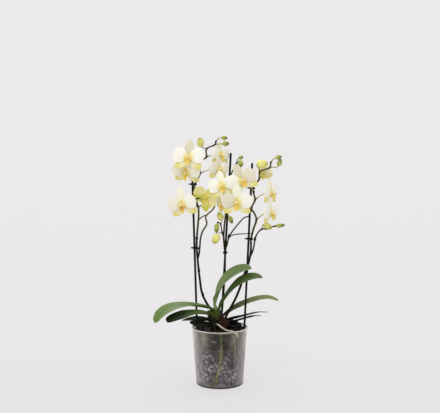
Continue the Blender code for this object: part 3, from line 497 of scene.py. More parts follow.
def rounded(path, radii, reach):
    """Closes both ends of a rod to a dome, by more points over the last stretch of its path."""
    way_in = (path[0] - path[1]).normalized()
    way_out = (path[-1] - path[-2]).normalized()
    caps = [(math.sin(angle), math.cos(angle)) for angle in (0.5, 0.95, 1.3, 1.5)]
    start = [(path[0] + way_in * reach * along, radii[0] * wide) for along, wide in reversed(caps)]
    end = [(path[-1] + way_out * reach * along, radii[-1] * wide) for along, wide in caps]
    whole = start + list(zip(path, radii)) + end
    return [spot for spot, _ in whole], [radius for _, radius in whole]


roots_form = new_form("air", "shade_and_age")
draw = random.Random(5)
for name, (thick, thin, _) in ROOTS.items():
    path = root_routes[name]
    swell = [draw.uniform(-ROOT_SWELLING, ROOT_SWELLING) for _ in range(len(path) // 4 + 2)]
    radii = []
    for index, share in enumerate(shares(path)):
        low = index // 4
        bulge = swell[low] + (swell[low + 1] - swell[low]) * smooth_step(0, 1, index % 4 / 4)
        radii.append((thick + (thin - thick) * share + bulge) * MM)
    path, radii = rounded(path, radii, thin * 1.4 * MM)
    grown = add_rod(roots_form, path, radii)
    # The aerial root is painted dark near the crown, as painted shade, and pale where it hangs dry.
    if name == "aerial":
        set_trait(roots_form, grown, "air", lambda at: smooth_step(22 * MM, 26 * MM, -at.y))
        set_trait(roots_form, grown, "shade_and_age", 1.0)
bmesh.ops.create_uvsphere(roots_form, u_segments=24, v_segments=16, radius=ROOT_CENTRE_RADIUS,
                          matrix=Matrix.Translation(ROOT_CENTRE))

# Velamen, the spongy skin that a root grows: soft olive green when wet, with pale flecks that are drawn 3 mm
# wide so that they show. The aerial root is painted near-black brown where it rises by the crown, as painted
# shade, and is silver-beige at its dry end. All are dull.
velamen, node, shader = new_material("velamen", Roughness=0.55)
place = node("TexCoord", out="Object")
air = node("Attribute", out="Fac", attribute_name="air")
flecks = node("TexNoise", {"Vector": place, "Scale": 320, "Detail": 4, "Roughness": 0.6})
wet = node("ValToRGB", {"Fac": flecks}, stops=[(0.3, "#525e22"), (0.55, "#6c7932"), (0.75, "#929c58")])
dry = node("ValToRGB", {"Fac": flecks}, stops=[(0.3, "#a89c80"), (0.7, "#ddd4bc")])
shade_and_age = node("Attribute", out="Fac", attribute_name="shade_and_age")
# Painted shade: the aerial root is mixed to near-black brown where it rises by the crown.
shaded_root = node("Mix", {0: shade_and_age, 6: wet, 7: "#1a140c"}, out=2, data_type="RGBA")
colour = node("Mix", {0: air, 6: shaded_root, 7: dry}, out=2, data_type="RGBA")
bump = node("Bump", {"Height": flecks, "Strength": 0.25, "Distance": 0.0005})
feed(shader, {"Base Color": colour, "Normal": bump})
finish_piece("root_strands", roots_form, velamen, "root_green", "roots")

# ---------------------------------------------------------------- crown
# The crown is a stub of stem, ringed by the scars of old leaves. The living leaves wrap it one over the
# next, and one old leaf base has dried to brown paper in front.

CROWN_AXIS = [(5, 0, 104), (4.5, 0, 118), (2, 0, 131), (-2, 0, 143), (-6, 0, 153), (-7, 0, 158)]
CROWN_RADII = (8.8, 5.5)
SCARS = 9
SCAR_RIDGE = 0.35  # mm


def crown_spot(z):
    """The crown's centre at height z."""
    for (x_low, _, low), (x_high, _, high) in zip(CROWN_AXIS, CROWN_AXIS[1:]):
        if z <= high * MM:
            share = (z / MM - low) / (high - low)
            return Vector(((x_low + (x_high - x_low) * share) * MM, 0, z))
    return Vector((CROWN_AXIS[-1][0] * MM, 0, z))


crown_form = new_form("height")
path = smooth_path([point(*spot) for spot in CROWN_AXIS], 10)
radii = []
for share in shares(path):
    ring = SCAR_RIDGE * max(0, math.cos(share * math.tau * SCARS)) ** 4
    radii.append((CROWN_RADII[0] + (CROWN_RADII[1] - CROWN_RADII[0]) * share + ring) * MM)
path, radii = rounded(path, radii, 3 * MM)
add_rod(crown_form, path, radii, 28)
# Painted shade: low down the crown is painted near-black under the leaves, as well as corky brown.
set_trait(crown_form, crown_form.verts, "height", lambda at: smooth_step(108 * MM, 150 * MM, at.z))

# Stem tissue, grown firm and corky: nearly black-brown low down, partly its own colour and partly painted
# shade under the leaves, olive green at its top and on the freshest stub, dull all over. Its short fibres
# are drawn coarse, 4 mm, so that they show.
stem_tissue, node, shader = new_material("crown_tissue", Roughness=0.75, Specular_IOR_Level=0.1)
place = node("TexCoord", out="Object")
height = node("Attribute", out="Fac", attribute_name="height")
fibre = node("TexNoise", {"Vector": place, "Scale": 260, "Detail": 3})
colour = node("ValToRGB", {"Fac": height}, stops=[(0.0, "#0d0a06"), (0.4, "#1c1a0a"), (1.0, "#434d18")])
bump = node("Bump", {"Height": fibre, "Strength": 0.3, "Distance": 0.0006})
feed(shader, {"Base Color": colour, "Normal": bump})


def blade_share(u, peak, foot, tip, foot_power, tip_power):
    """Share of the half width at u along a blade: foot at its start, 1 at the peak and tip at its end."""
    if u < peak:
        end, power, far = foot, foot_power, (peak - u) / peak
    else:
        end, power, far = tip, tip_power, (u - peak) / (1 - peak)
    return (1 - (1 - end**power) * far**power) ** (1 / power)


def add_blade(bm, rows, columns, place, thickness):
    """A thin closed blade from a grid. place(u, v) is its middle surface, with u from 0 to 1 along it and v
    from -1 to 1 across, and thickness(u, v) its thickness there. Returns its lower and its upper points."""
    lift = bm.verts.layers.float_vector["lift"]
    lower = bmesh.ops.create_grid(bm, x_segments=columns, y_segments=rows, size=1, calc_uvs=True)["verts"]
    faces = list(dict.fromkeys(face for vert in lower for face in vert.link_faces))
    halves = {}
    for vert in lower:
        u, v = min(max((vert.co.y + 1) / 2, 0), 1), vert.co.x
        halves[vert] = thickness(u, v) / 2
        vert.co = place(u, v)
    for face in faces:
        face.normal_update()
    for vert in lower:
        vert.normal_update()
        vert[lift] = vert.normal * halves[vert]
    grown = bmesh.ops.extrude_face_region(bm, geom=faces, use_keep_orig=True)["geom"]
    upper = [item for item in grown if isinstance(item, bmesh.types.BMVert)]
    for vert in upper:
        vert.co += vert[lift]
    for vert in lower:
        vert.co -= vert[lift]
    return lower, upper


# The stubs of old leaves at the crown's left: how green they still are, then foot, bend and torn end
OLD_BASES = [
    (0.8, (-2, -5, 130), (-12, -7, 146), (-25, -8, 160)),
    (0.4, (-3, -6, 124), (-12, -9, 136), (-24, -10, 150)),
    (0.1, (-3, -7, 116), (-12, -11, 126), (-22, -12, 140)),
    (0.1, (-3, -6, 113), (-10, -12, 119), (-18, -15, 130)),
    (0.3, (-2, 3, 120), (-11, 4, 138), (-24, 4, 155)),
]
for phase, (greenness, *spots) in enumerate(OLD_BASES):
    route = smooth_path([point(*spot) for spot in spots], 8)
    way = (route[-1] - route[-2]).normalized()

    def stub_point(u, v):
        index = min(int(u * (len(route) - 1)), len(route) - 2)
        here = route[index].lerp(route[index + 1], u * (len(route) - 1) - index)
        reach = 7 * MM * blade_share(u, 0.4, 0.8, 0.4, 2, 1.5)
        torn = 1.5 * MM * math.sin(v * 7 + phase * 2) * u**4
        return here + Vector((0.75 * v, 0.35 * v * v, 0.65 * v)) * reach + way * torn

    lower, upper = add_blade(crown_form, 16, 10, stub_point, lambda u, v: 1.0 * MM)
    set_trait(crown_form, lower + upper, "height", greenness)
finish_piece("crown_stem", crown_form, stem_tissue, "crown_green", "crown")

SHEATH_TOP, SHEATH_FOOT = point(4, -12.8, 147), point(10, -15.6, 125)
SHEATH_REACH = 12 * MM
tears = [random.Random(index).uniform(-1, 1) for index in range(40)]


def sheath_point(u, v):
    """A point of the dry scale: curled in at its sides, torn along its top, buckled by its ribs."""
    ragged = 1.2 * MM * tears[int((v + 1) * 19.4)] * (1 - u) ** 3
    reach = SHEATH_REACH * blade_share(u, 0.6, 0.3, 0.3, 1.4, 1.6)
    across = Vector((v * math.cos(0.15), 0.55 * v * v, v * math.sin(0.15) - 0.1 * v * v * u)) * reach
    buckle = 0.45 * MM * math.sin(v * 11 + 2 * u) + 0.3 * MM * math.sin(u * 13)
    bow = Vector((0, 1.6 * MM * math.sin(math.pi * u) + buckle, 0))
    return SHEATH_TOP.lerp(SHEATH_FOOT, u) + across - bow + UP * ragged


sheath_form = new_form()
add_blade(sheath_form, 26, 26, sheath_point, lambda u, v: 0.35 * MM)

# Dead leaf base, dried to paper on the plant: matt and red-brown, with darker ribs along it.
dry_paper, node, shader = new_material("dried_leaf_base", Roughness=0.8, Specular_IOR_Level=0.15)
map_place = node("UVMap")
ribs_place = node("Mapping", {"Vector": map_place, "Scale": (22, 1.6, 1)})
ribs = node("TexNoise", {"Vector": ribs_place, "Scale": 1, "Detail": 4})
colour = node("ValToRGB", {"Fac": ribs}, stops=[(0.38, "#0b0503"), (0.52, "#2c150c"), (0.7, "#63392a")])
bump = node("Bump", {"Height": ribs, "Strength": 0.5, "Distance": 0.0006})
feed(shader, {"Base Color": colour, "Normal": bump})
finish_piece("dry_leaf_base", sheath_form, dry_paper, "sheath_brown", "dry_sheath")

# ---------------------------------------------------------------- leaves
# Nine strap leaves in two ranks. Each is one thick waxy blade: it clasps the crown at its foot, folds to a
# trough, opens to a shallow channel and ends in a rounded tip.

# name: half width, rise of the halves from the midrib (a slope), share of the width at the tip, depth of
# green at foot and tip (0 dark, 1 pale), warmth (0 blue-green, 1 olive), and the midrib's route as x, y, z
# and tilt. The depth of green is partly the leaf's own green and partly painted light: painted shade on the
# four low leaves at 0, and a painted pale sheen where it is high. Tilt is how many degrees the blade's upper
# side is turned from the sky towards the front.
LEAVES = {
    "left_upper": (15.5, 0.12, 0.16, (0.62, 0.66), 0.2,
                   [(-19.5, -2, 163, 4), (-33, -8, 167, 2), (-53, -18, 172, 6), (-74, -28, 175, 12),
                    (-94, -38, 175, 15), (-112, -46, 170, 18), (-126, -52, 160, 21),
                    (-135.5, -56, 144.5, 24)]),
    "left_lower": (15.5, 0.22, 0.40, (0.80, 0.10), 0.2,
                   [(-18.5, -3, 149, 8), (-36, -12, 154, 9), (-53, -22, 156, 12), (-70, -34, 156.5, 14),
                    (-86, -46, 154, 14), (-100, -56, 151, 14), (-109.5, -62, 147.5, 16)]),
    "left_back": (14, 0.10, 0.20, (0.0, 0.0), 0.2,
                  [(-17, 4, 135, 2), (-33, 14, 134, 6), (-47, 26, 132.5, 10), (-62, 39, 130.5, 12),
                   (-71.5, 48, 128.5, 12), (-79, 55, 126.5, 12)]),
    "left_front": (13, 0.14, 0.12, (0.0, 0.0), 0.4,
                   [(-18, -5.5, 128.5, 8), (-30, -13.5, 130, 24), (-43, -21.5, 132, 28),
                    (-54, -27.5, 134.5, 22), (-62, -32.5, 138, 10)]),
    "right_top": (18.5, 0.30, 0.20, (0.88, 0.72), 0.15,
                  [(-8.5, 1, 174, 5), (-4.5, -2, 189, 15), (2, -4, 205, 22), (11, -5, 220.5, 26),
                   (23, -6.5, 234, 28), (37, -9.5, 243.5, 26), (52, -13, 249.5, 22), (67, -16, 252, 18)]),
    "right_upper": (16, 0.25, 0.20, (0.42, 0.52), 0.3,
                    [(1, -4, 166, 8), (7.5, -7, 180, 16), (17, -12, 194, 22), (28.5, -16.5, 208, 24),
                     (42, -20, 221.5, 24), (58, -22, 231, 22), (74.5, -23, 235, 20), (90, -24, 234, 14)]),
    "right_middle": (12.5, 0.14, 0.20, (0.27, 0.7), 1.0,
                     [(7.5, 5, 145.5, 4), (19, 8, 152.5, 8), (33, 13, 160, 10), (50, 20.5, 167.5, 10),
                      (67, 24, 174, 11), (85, 28, 179, 12), (106, 30, 180.5, 12), (127, 31, 174, 10)]),
    "right_back": (12, 0.06, 0.20, (0.0, 0.0), 0.4,
                   [(11, 8, 135, -6), (28, 17, 136.5, -9), (46, 30, 138.5, -10), (65, 43, 141, -11),
                    (85, 55, 143, -12), (105, 64, 141, -12)]),
    "right_lower": (9, 0.06, 0.20, (0.0, 0.0), 0.4,
                    [(13, 2, 130.5, -4), (29, 9, 132, -8), (45, 16, 135, -8), (62, 23, 138.5, -8),
                     (76, 29, 140.5, -10), (90, 33, 139.5, -10)]),
}
LEAF_ROWS = 64
LEAF_COLUMNS = 22
CLASP_SHARE = 0.16  # how much of the rows is the clasping foot
CLASP_ANGLE = 118  # degrees, how far each half reaches round the stem
FOOT_FOLD = 0.95  # how much steeper the halves rise at the blade's foot
LEAF_THICKNESS = 1.6 * MM


def add_leaf(bm, half_width, channel, tip, greens, warmth, route, phase):
    """A leaf with its clasping foot. Both follow the midrib; across runs to the leaf's far edge."""
    path = smooth_path([Vector((x * MM, y * MM, z * MM, math.radians(tilt))) for x, y, z, tilt in route], 12)
    last = len(path) - 1
    foot = path[0].to_3d()
    away = (path[4] - path[0]).to_3d().normalized()
    root = crown_spot(max(foot.z - 32 * MM, 112 * MM))
    hold = (6 + 4.5 * (175 * MM - foot.z) / (45 * MM)) * MM

    def directions(along):
        """The ways across and over a midrib that runs along."""
        across = along.cross(UP).normalized()
        across *= 1 if across.y > 0 else -1
        over = across.cross(along).normalized()
        return across, over * (1 if over.z > 0 else -1)

    def clasp_point(share, v):
        """The foot, from the blade (share 0) down round the stem (share 1)."""
        t, s = 1 - share, share
        curve = (root * s**3 + (root + UP * 14 * MM) * 3 * s * s * t + (foot - away * 9 * MM) * 3 * s * t * t
                 + foot * t**3)
        across, over = directions(away)
        inward = Vector((-away.x, -away.y, 0)).normalized()
        over = over.lerp(inward, smooth_step(0, 0.8, share)).normalized()
        blend = smooth_step(0, 0.9, share)
        fold = math.atan(channel + FOOT_FOLD)
        foot_reach = half_width * MM * 0.3
        open_shape = (across * v * math.cos(fold) + over * abs(v) ** 1.2 * math.sin(fold)) * foot_reach
        angle = v * math.radians(CLASP_ANGLE)
        wrap = across * math.sin(angle) * hold - over * math.cos(angle) * hold
        return curve + open_shape.lerp(wrap, blend)

    def blade_point(u, v):
        """The blade, from its foot (u 0) to its tip (u 1)."""
        u -= 0.035 * v * v * u**6
        index = min(int(u * last), last - 1)
        here = path[index].lerp(path[index + 1], u * last - index)
        along = (path[min(index + 4, last)] - path[max(index - 3, 0)]).to_3d().normalized()
        across, over = directions(along)
        back = across * math.cos(here.w) + over * math.sin(here.w)
        upper = over * math.cos(here.w) - across * math.sin(here.w)
        fold = math.atan(channel + FOOT_FOLD * (1 - u) ** 3)
        reach = half_width * MM * blade_share(u, 0.62, 0.3, tip, 1.5, 2.2)
        wave = 0.5 * MM * math.sin(u * 8 + phase + v) * v * v * smooth_step(0.1, 0.4, u)
        return (here.to_3d() + (back * v * math.cos(fold) + upper * abs(v) ** 1.2 * math.sin(fold)) * reach
                + upper * wave)

    def place(u, v):
        if u < CLASP_SHARE:
            return clasp_point(1 - u / CLASP_SHARE, v)
        return blade_point((u - CLASP_SHARE) / (1 - CLASP_SHARE), v)

    def thickness(u, v):
        keel = 0.5 * math.exp(-((v / 0.1) ** 2)) * (1 - u)
        return LEAF_THICKNESS * (1 - 0.62 * abs(v) ** 3 + keel) * (1 - 0.35 * u**8)

    lower, upper = add_blade(bm, LEAF_ROWS, LEAF_COLUMNS, place, thickness)
    reach = (path[-1] - path[0]).to_3d().length
    for side, verts in ((1.0, lower), (0.0, upper)):
        set_trait(bm, verts, "underside", side)
        set_trait(bm, verts, "depth", lambda at: greens[0]
                  + (greens[1] - greens[0]) * smooth_step(0.1, 0.9, (at - foot).length / reach))
        set_trait(bm, verts, "warmth", warmth)
        # A low leaf's foot is painted near-black brown: partly age, partly painted shade round the crown.
        set_trait(bm, verts, "shade_and_age", lambda at: (1 - smooth_step(138 * MM, 180 * MM, at.z))
                  * (1 - smooth_step(0, 26 * MM, (at - foot).dot(away))))


# Waxy leaf skin, grown over thick green flesh: smooth, with a soft sheen on the pale leaves and hardly any on
# the dark, dusty ones and the olive one. The green is painted paler as a sheen on the high leaves and darker
# as shade on the low ones. Veins run the length of the blade, under the skin, 1 to 2 mm apart. The midrib is
# a sunken dark line, the underside is duller and painted darker as shade, and a low leaf's foot is painted
# near-black brown, partly age and partly painted shade round the crown.
waxy_leaf, node, shader = new_material("waxy_leaf", Roughness=0.5, Specular_IOR_Level=0.1, Coat_Roughness=0.3)
place = node("TexCoord", out="Object")
blade_map = node("UVMap")
vein_place = node("Mapping", {"Vector": blade_map, "Scale": (24, 1.5, 1)})
veins = node("TexNoise", {"Vector": vein_place, "Scale": 1, "Detail": 3})
mottle = node("TexNoise", {"Vector": place, "Scale": 90, "Detail": 4})
side = node("SeparateXYZ", {"Vector": blade_map}, out="X")
from_rib = node("Math", {0: side, 1: 0.5}, operation="SUBTRACT")
from_rib = node("Math", {0: from_rib}, operation="ABSOLUTE")
rib = node("MapRange", {"Value": from_rib, 1: 0.0, 2: 0.07, 3: 1.0, 4: 0.0})
# Painted light: a low depth is painted shade and a high one a painted pale sheen, over the leaf's own green.
depth = node("Attribute", out="Fac", attribute_name="depth")
uneven = node("Math", {0: veins, 1: 0.16, 2: depth}, operation="MULTIPLY_ADD")
uneven = node("Math", {0: mottle, 1: 0.14, 2: uneven}, operation="MULTIPLY_ADD")
uneven = node("Math", {0: uneven, 1: 0.15}, operation="SUBTRACT")
green = node("ValToRGB", {"Fac": uneven}, stops=[(0.06, "#0a1104"), (0.32, "#20370d"), (0.6, "#4e6f30"),
                                                 (1.0, "#8aa166")])
olive = node("ValToRGB", {"Fac": uneven}, stops=[(0.0, "#131806"), (0.4, "#4c5a1b"), (1.0, "#929e50")])
warmth = node("Attribute", out="Fac", attribute_name="warmth")
colour = node("Mix", {0: warmth, 6: green, 7: olive}, out=2, data_type="RGBA")
rib_tint = node("Math", {0: rib, 1: 0.75}, operation="MULTIPLY")
colour = node("Mix", {0: rib_tint, 6: colour, 7: "#24380f"}, out=2, data_type="RGBA")
under = node("Attribute", out="Fac", attribute_name="underside")
# Painted shade: the underside is darkened.
shaded = node("HueSaturation", {"Saturation": 0.95, "Value": 0.82, "Color": colour})
colour = node("Mix", {0: under, 6: colour, 7: shaded}, out=2, data_type="RGBA")
shade_and_age = node("Attribute", out="Fac", attribute_name="shade_and_age")
# Painted shade and age: a low leaf's foot is mixed to near-black brown.
colour = node("Mix", {0: shade_and_age, 6: colour, 7: "#1b160c"}, out=2, data_type="RGBA")
wax = node("MapRange", {"Value": depth, 1: 0.25, 2: 0.7, 3: 0.0, 4: 0.5})
wax = node("Mix", {0: warmth, 2: wax, 3: 0.08})
ridge = node("Math", {0: rib, 1: -1.2, 2: veins}, operation="MULTIPLY_ADD")
bump = node("Bump", {"Height": ridge, "Strength": 0.3, "Distance": 0.0005})
dusty = node("MapRange", {"Value": depth, 1: 0.0, 2: 0.2, 3: 1.0, 4: 0.5})
feed(shader, {"Base Color": colour, "Roughness": dusty, "Coat Weight": wax, "Normal": bump})

for order, (name, (half_width, channel, tip, greens, warmth, route)) in enumerate(LEAVES.items()):
    leaf_form = new_form("underside", "depth", "warmth", "shade_and_age")
    add_leaf(leaf_form, half_width, channel, tip, greens, warmth, route, 1.7 * order)
    finish_piece("blade_" + name, leaf_form, waxy_leaf, "leaf_green", "leaf_" + name, sharp=60)

# ---------------------------------------------------------------- stakes
# Three extruded rods of black polystyrene, pushed into the bark, each with a rounded tip. A faint line runs
# down each from the die.

# Black polystyrene, extruded: deep black-green with a dull gloss. Its fine draw lines are set 1 mm apart so
# that they show.
black_rod, node, shader = new_material("extruded_black_plastic", Roughness=0.4, Specular_IOR_Level=0.15)
place = node("TexCoord", out="Object")
drawn = node("Mapping", {"Vector": place, "Scale": (1, 1, 0.02)})
lines = node("TexNoise", {"Vector": drawn, "Scale": 900, "Detail": 2})
colour = node("ValToRGB", {"Fac": lines}, stops=[(0.3, "#050605"), (0.7, "#0e100e")])
sheen = node("MapRange", {"Value": lines, 1: 0.3, 2: 0.7, 3: 0.35, 4: 0.55})
bump = node("Bump", {"Height": lines, "Strength": 0.15, "Distance": 0.0003})
feed(shader, {"Base Color": colour, "Roughness": sheen, "Normal": bump})

STAKE_STEPS = 12
STAKE_TIP = 2 * MM  # how long its rounded end is

for name, (foot, tip) in STAKES.items():
    along = (tip - foot).normalized()
    path = [foot.lerp(tip - along * STAKE_TIP, step / STAKE_STEPS) for step in range(STAKE_STEPS + 1)]
    path, radii = rounded(path, [STAKE_RADIUS] * len(path), STAKE_TIP)
    stake_form = new_form()
    add_rod(stake_form, path, radii, 24)
    finish_piece("rod_" + name, stake_form, black_rod, "black_plastic", "stake_" + name)


def stake_at(name, z):
    """The stake's centre at height z."""
    foot, tip = STAKES[name]
    return foot.lerp(tip, (z - foot.z) / (tip.z - foot.z))


# ---------------------------------------------------------------- flower spikes
# Three flower stems grow out between the leaves and are clipped to the stakes. Each is a woody green stem
# that zigzags from joint to joint, with a swollen dark joint, a dry scale and a thin stalk at each flower,
# and buds at its end.

BLOOM_BACK = 4.4 * MM  # from a bloom's centre back to its stalk
STALK_RADIUS = 1.05 * MM
STALK_STEPS = 14
JOINT_SWELLING = 0.5  # mm

# number: centre, the way it faces, roll in degrees (clockwise to one who faces it), scale, shape
BLOOMS = {
    "01": ((-65, -36, 488), (-0.20, -0.95, 0.20), 2, 1.05, "open"),
    "02": ((-70.5, -16, 455.5), (-0.30, -0.88, -0.30), 4, 0.98, "open"),
    "03": ((-78, -33, 389), (-0.30, -0.94, -0.10), -12, 1.0, "open"),
    "04": ((-33, -15, 401), (0.16, 0.96, 0.20), -42, 0.86, "open"),
    "05": ((2, 8, 489), (0.66, -0.74, 0.10), 4, 0.80, "open"),
    "06": ((-2, -12, 461), (0.60, -0.80, 0.02), 4, 0.80, "open"),
    "07": ((4.5, -35, 428), (-0.16, -0.95, 0.18), -14, 0.92, "open"),
    "08": ((46.5, -44, 441), (0.06, -0.98, 0.10), -25, 1.0, "open"),
    "09": ((35, -60, 397), (-0.04, -0.98, 0.02), 0, 1.02, "open"),
    "10": ((108, -8, 411), (0.84, -0.54, 0.06), 4, 0.86, "open"),
    "11": ((108, -10, 368.5), (0.80, -0.60, -0.04), -4, 0.80, "open"),
    "12": ((89.5, 12, 447), (0.45, 0.80, 0.35), 20, 0.80, "closing"),
    "13": ((7, -12, 389), (-0.84, -0.52, -0.05), 0, 0.84, "open"),
}


# Each spike: its stems as (radius at foot, radius at tip, route); the blooms and buds, with where each stalk
# leaves a stem. A bud has the place of its foot, the way it points, its half width and its half length.
SPIKES = {
    "left": {
        "stems": [
            (2.6, 1.6, [(0, 8, 134), (-8, 12, 147), (-18, 13, 158), (-29, 11, 174), (-38, 7, 196),
                        (-42, 5, 222), (-46, 4.4, 258), (-48.6, 4.2, 292), (-48.4, 2, 314), (-46.4, -1, 338),
                        (-44.6, -3, 360), (-45, -3, 381), (-50, -2.6, 394), (-52.6, 1, 412),
                        (-52.2, 5.4, 428), (-45.4, 2.4, 442), (-41.6, -0.4, 451), (-42.6, -2.6, 462),
                        (-43.2, -2.4, 472), (-35.5, 2.6, 480.5), (-28, 6, 485.5), (-27.6, 5, 502.5),
                        (-11, 1, 511), (-8, 0, 519)]),
            (2.0, 1.5, [(-47, 4.4, 268), (-43.6, -1, 282), (-42, -4.5, 298), (-40.6, -6, 314),
                        (-36.5, -6, 329), (-27.4, -5, 345), (-29.3, -4, 361), (-16, -2, 374), (-11, 3, 382),
                        (-12, 2, 394), (-12, -2, 407)]),
            (1.6, 1.3, [(-45, -3, 379), (-53, -9, 388), (-56.5, -17, 394), (-52, -22.5, 399),
                        (-44, -23.5, 402)]),
            (1.4, 1.2, [(-44.8, -3, 353), (-37.5, -5, 360), (-29.7, -4.4, 363.6)]),
            (1.2, 0.9, [(-45, -3, 379), (-39, -5, 384.5), (-32.5, -6, 391)]),
        ],
        "blooms": [("03", (-49, -3, 391)), ("04", (-46, -23.4, 401.4)), ("02", (-45.4, 2.4, 442)),
                   ("06", (-41.6, -0.4, 451)), ("01", (-43.2, -2.4, 472)), ("05", (-28, 6, 485.5)),
                   ("07", (-12, -2, 406))],
        "buds": [((-27.6, 5, 502.5), (-39, 3, 507.5), (-0.15, 0, 1), 7.4, 10),
                 ((-11, 1, 511), (6, -1, 513.5), (1, 0, 0.05), 5.2, 7.2),
                 ((-8, 0, 519), (4, -2, 526.5), (1, 0, -0.05), 4.6, 6.4)],
        "scales": [(-36, 8.2, 190), (-44.4, 4.6, 244), (-48.4, 2, 314)],
    },
    "middle": {
        "stems": [
            (2.6, 1.5, [(4, 8, 132), (4, 13, 149), (5.4, 14, 164), (7.6, 15.4, 190), (9.6, 16.4, 220),
                        (11, 16.8, 250), (11, 16.8, 280), (9.4, 15, 298), (8.3, 12, 316), (10, 10.5, 342),
                        (12.5, 10, 362), (17, 11, 392), (18, 12, 420), (23, 11, 445), (30, 10, 462),
                        (35, 10, 472)]),
            (1.7, 1.4, [(11, 16.8, 284), (15.5, 13.5, 298), (19.5, 12, 315), (27, 12.5, 327), (38.7, 14, 342),
                        (50.8, 15, 355), (61, 16, 359), (66, 14, 369)]),
            (1.3, 1.0, [(19.5, 12, 315), (28, 13.5, 319), (40, 15.5, 320.6), (56, 16.5, 321), (68, 15, 322)]),
            (1.5, 1.1, [(8.3, 12, 314), (5, 6, 325), (2, 3, 343), (-4, 2, 348)]),
        ],
        "blooms": [("13", (17, 11, 392))],
        "buds": [((35, 10, 472), (43, 10, 477.5), (0.15, 0, -1), 5.6, 7.4),
                 ((35, 10, 472), (40, 10, 482.5), (1, 0, 0.35), 4.2, 5.2),
                 ((-4, 2, 348), (-6, 0, 345), (-0.05, 0, -1), 5.2, 10.6),
                 ((5, 6, 325), (-4, -6, 323), (-0.4, -0.12, -0.9), 8.2, 11.2),
                 ((2, 3, 343), (4.5, -5, 354), (-0.4, -0.15, 0.9), 7.0, 9.6),
                 ((12.5, 10, 362), (20.5, 5, 360), (0.35, -0.1, -0.9), 4.8, 8.6)],
        "scales": [(10.6, 16.7, 238), (19.5, 12, 315), (18, 12, 420)],
    },
    "right": {
        "stems": [
            (2.8, 1.6, [(6, -6, 124), (8, -6.5, 134), (13.5, -5, 147), (21.6, -5, 163), (33, -3, 184),
                        (43, 0, 208), (52, 1, 236), (60.4, 1, 259), (64.6, 1, 278), (66, 1.4, 296),
                        (66.2, 2.6, 312), (71, -2, 334), (77, -5, 354), (72, -5, 369), (66.5, -5, 378),
                        (74, -4, 396), (71.4, -0.5, 408), (70.2, 1.6, 416), (70.4, 1.8, 424), (82, -5, 439),
                        (84.2, -6, 456), (103.5, -6, 463.6), (107, -6, 476)]),
            (1.9, 1.3, [(64.4, 1, 274), (70.6, -4, 291), (74.2, -5.4, 312), (79, -6, 325), (88, -6, 334),
                        (98, -5, 335), (110, -5, 339), (117, -5, 340.6)]),
        ],
        "blooms": [("11", (77, -5, 354)), ("09", (67, -5, 377)), ("10", (74, -4, 396)), ("08", (72, -1, 413)),
                   ("12", (82, -5, 439))],
        "buds": [((84.2, -6, 456), (78, -8, 471.5), (1, 0, 0.05), 9.2, 11.8),
                 ((107, -6, 476), (117, -6, 484.5), (0.9, 0, 0.2), 4.8, 6.6),
                 ((103.5, -6, 463.6), (123, -6, 468), (0.3, 0, 1), 5.4, 7.8),
                 ((88, -6, 334), (93, -8, 345.5), (0.85, 0, -0.5), 7.0, 9.8),
                 ((116, -5, 340.4), (119, -5, 341), (0.98, 0, 0.1), 4.4, 9.6)],
        "scales": [(50, 0.8, 231), (74.2, -5.4, 312), (98, -5, 335)],
    },
}


def facing_matrix(centre, facing, roll_degrees, scale=1.0):
    """Local +Z looks along facing and local +Y is as upright as it can be, then turned by the roll."""
    z = facing.normalized()
    y = (UP - z * UP.dot(z)).normalized()
    x = y.cross(z)
    turn = Matrix((x, y, z)).transposed().to_4x4()
    roll = Matrix.Rotation(math.radians(roll_degrees), 4, "Z")
    return Matrix.Translation(centre) @ turn @ roll @ Matrix.Scale(scale, 4)


def bloom_matrix(number):
    """The place of a bloom that was made at the origin, facing +Z."""
    centre, facing, roll, scale, _ = BLOOMS[number]
    return facing_matrix(point(*centre), Vector(facing), -roll, scale)


def stalk_path(start, end, arrive):
    """A bloom's or bud's stalk: it leaves the stem outwards and upwards and comes in along arrive."""
    span = (end - start).length
    leave = (end - start).normalized() + UP * 0.35
    a, b, c = start, start + leave * span * 0.3, end - arrive * span * 0.42
    path = []
    for step in range(STALK_STEPS + 1):
        t = step / STALK_STEPS
        s = 1 - t
        path.append(a * s**3 + b * 3 * s * s * t + c * 3 * s * t * t + end * t**3)
    return path


def add_scale(bm, spot, radius, lean, length):
    """The small dry scale that clasps a joint of the stem: a hollow pointed hood."""
    turn = lean.to_track_quat("Z", "Y").to_matrix()

    def place(u, v):
        angle = v * 1.9
        wide = radius * blade_share(u, 0.25, 0.85, 0.12, 2, 1.4)
        local = Vector((wide * math.sin(angle), -wide * math.cos(angle) - 0.25 * radius * u,
                        length * (u - 0.3)))
        return spot + turn @ local

    return [vert for half in add_blade(bm, 8, 8, place, lambda u, v: 0.5 * MM) for vert in half]


def add_bud(bm, base, direction, half_width, half_length):
    """A plump bud, broadest near its foot, with a blunt tip and three seams where its sepals meet."""
    turn = direction.to_track_quat("Z", "Y").to_matrix().to_4x4()
    bud = bmesh.ops.create_uvsphere(bm, u_segments=30, v_segments=20, radius=1)["verts"]
    for vert in bud:
        height = vert.co.z
        seam = abs(math.cos(1.5 * math.atan2(vert.co.y, vert.co.x)))
        narrow = (1 - 0.22 * height) * (1 - 0.07 * (1 - seam) ** 6 * (1 - height**4))
        vert.co.x *= half_width * MM * narrow
        vert.co.y *= half_width * MM * narrow
        vert.co.z = (height + 0.92) * half_length * MM
    bmesh.ops.transform(bm, matrix=Matrix.Translation(base) @ turn, verts=bud)
    top = 2 * half_length * MM
    set_trait(bm, bud, "tip", lambda at: smooth_step(0.35, 1.0, (at - base).dot(direction) / top))
    set_trait(bm, bud, "age", smooth_step(4.5, 9, half_width))


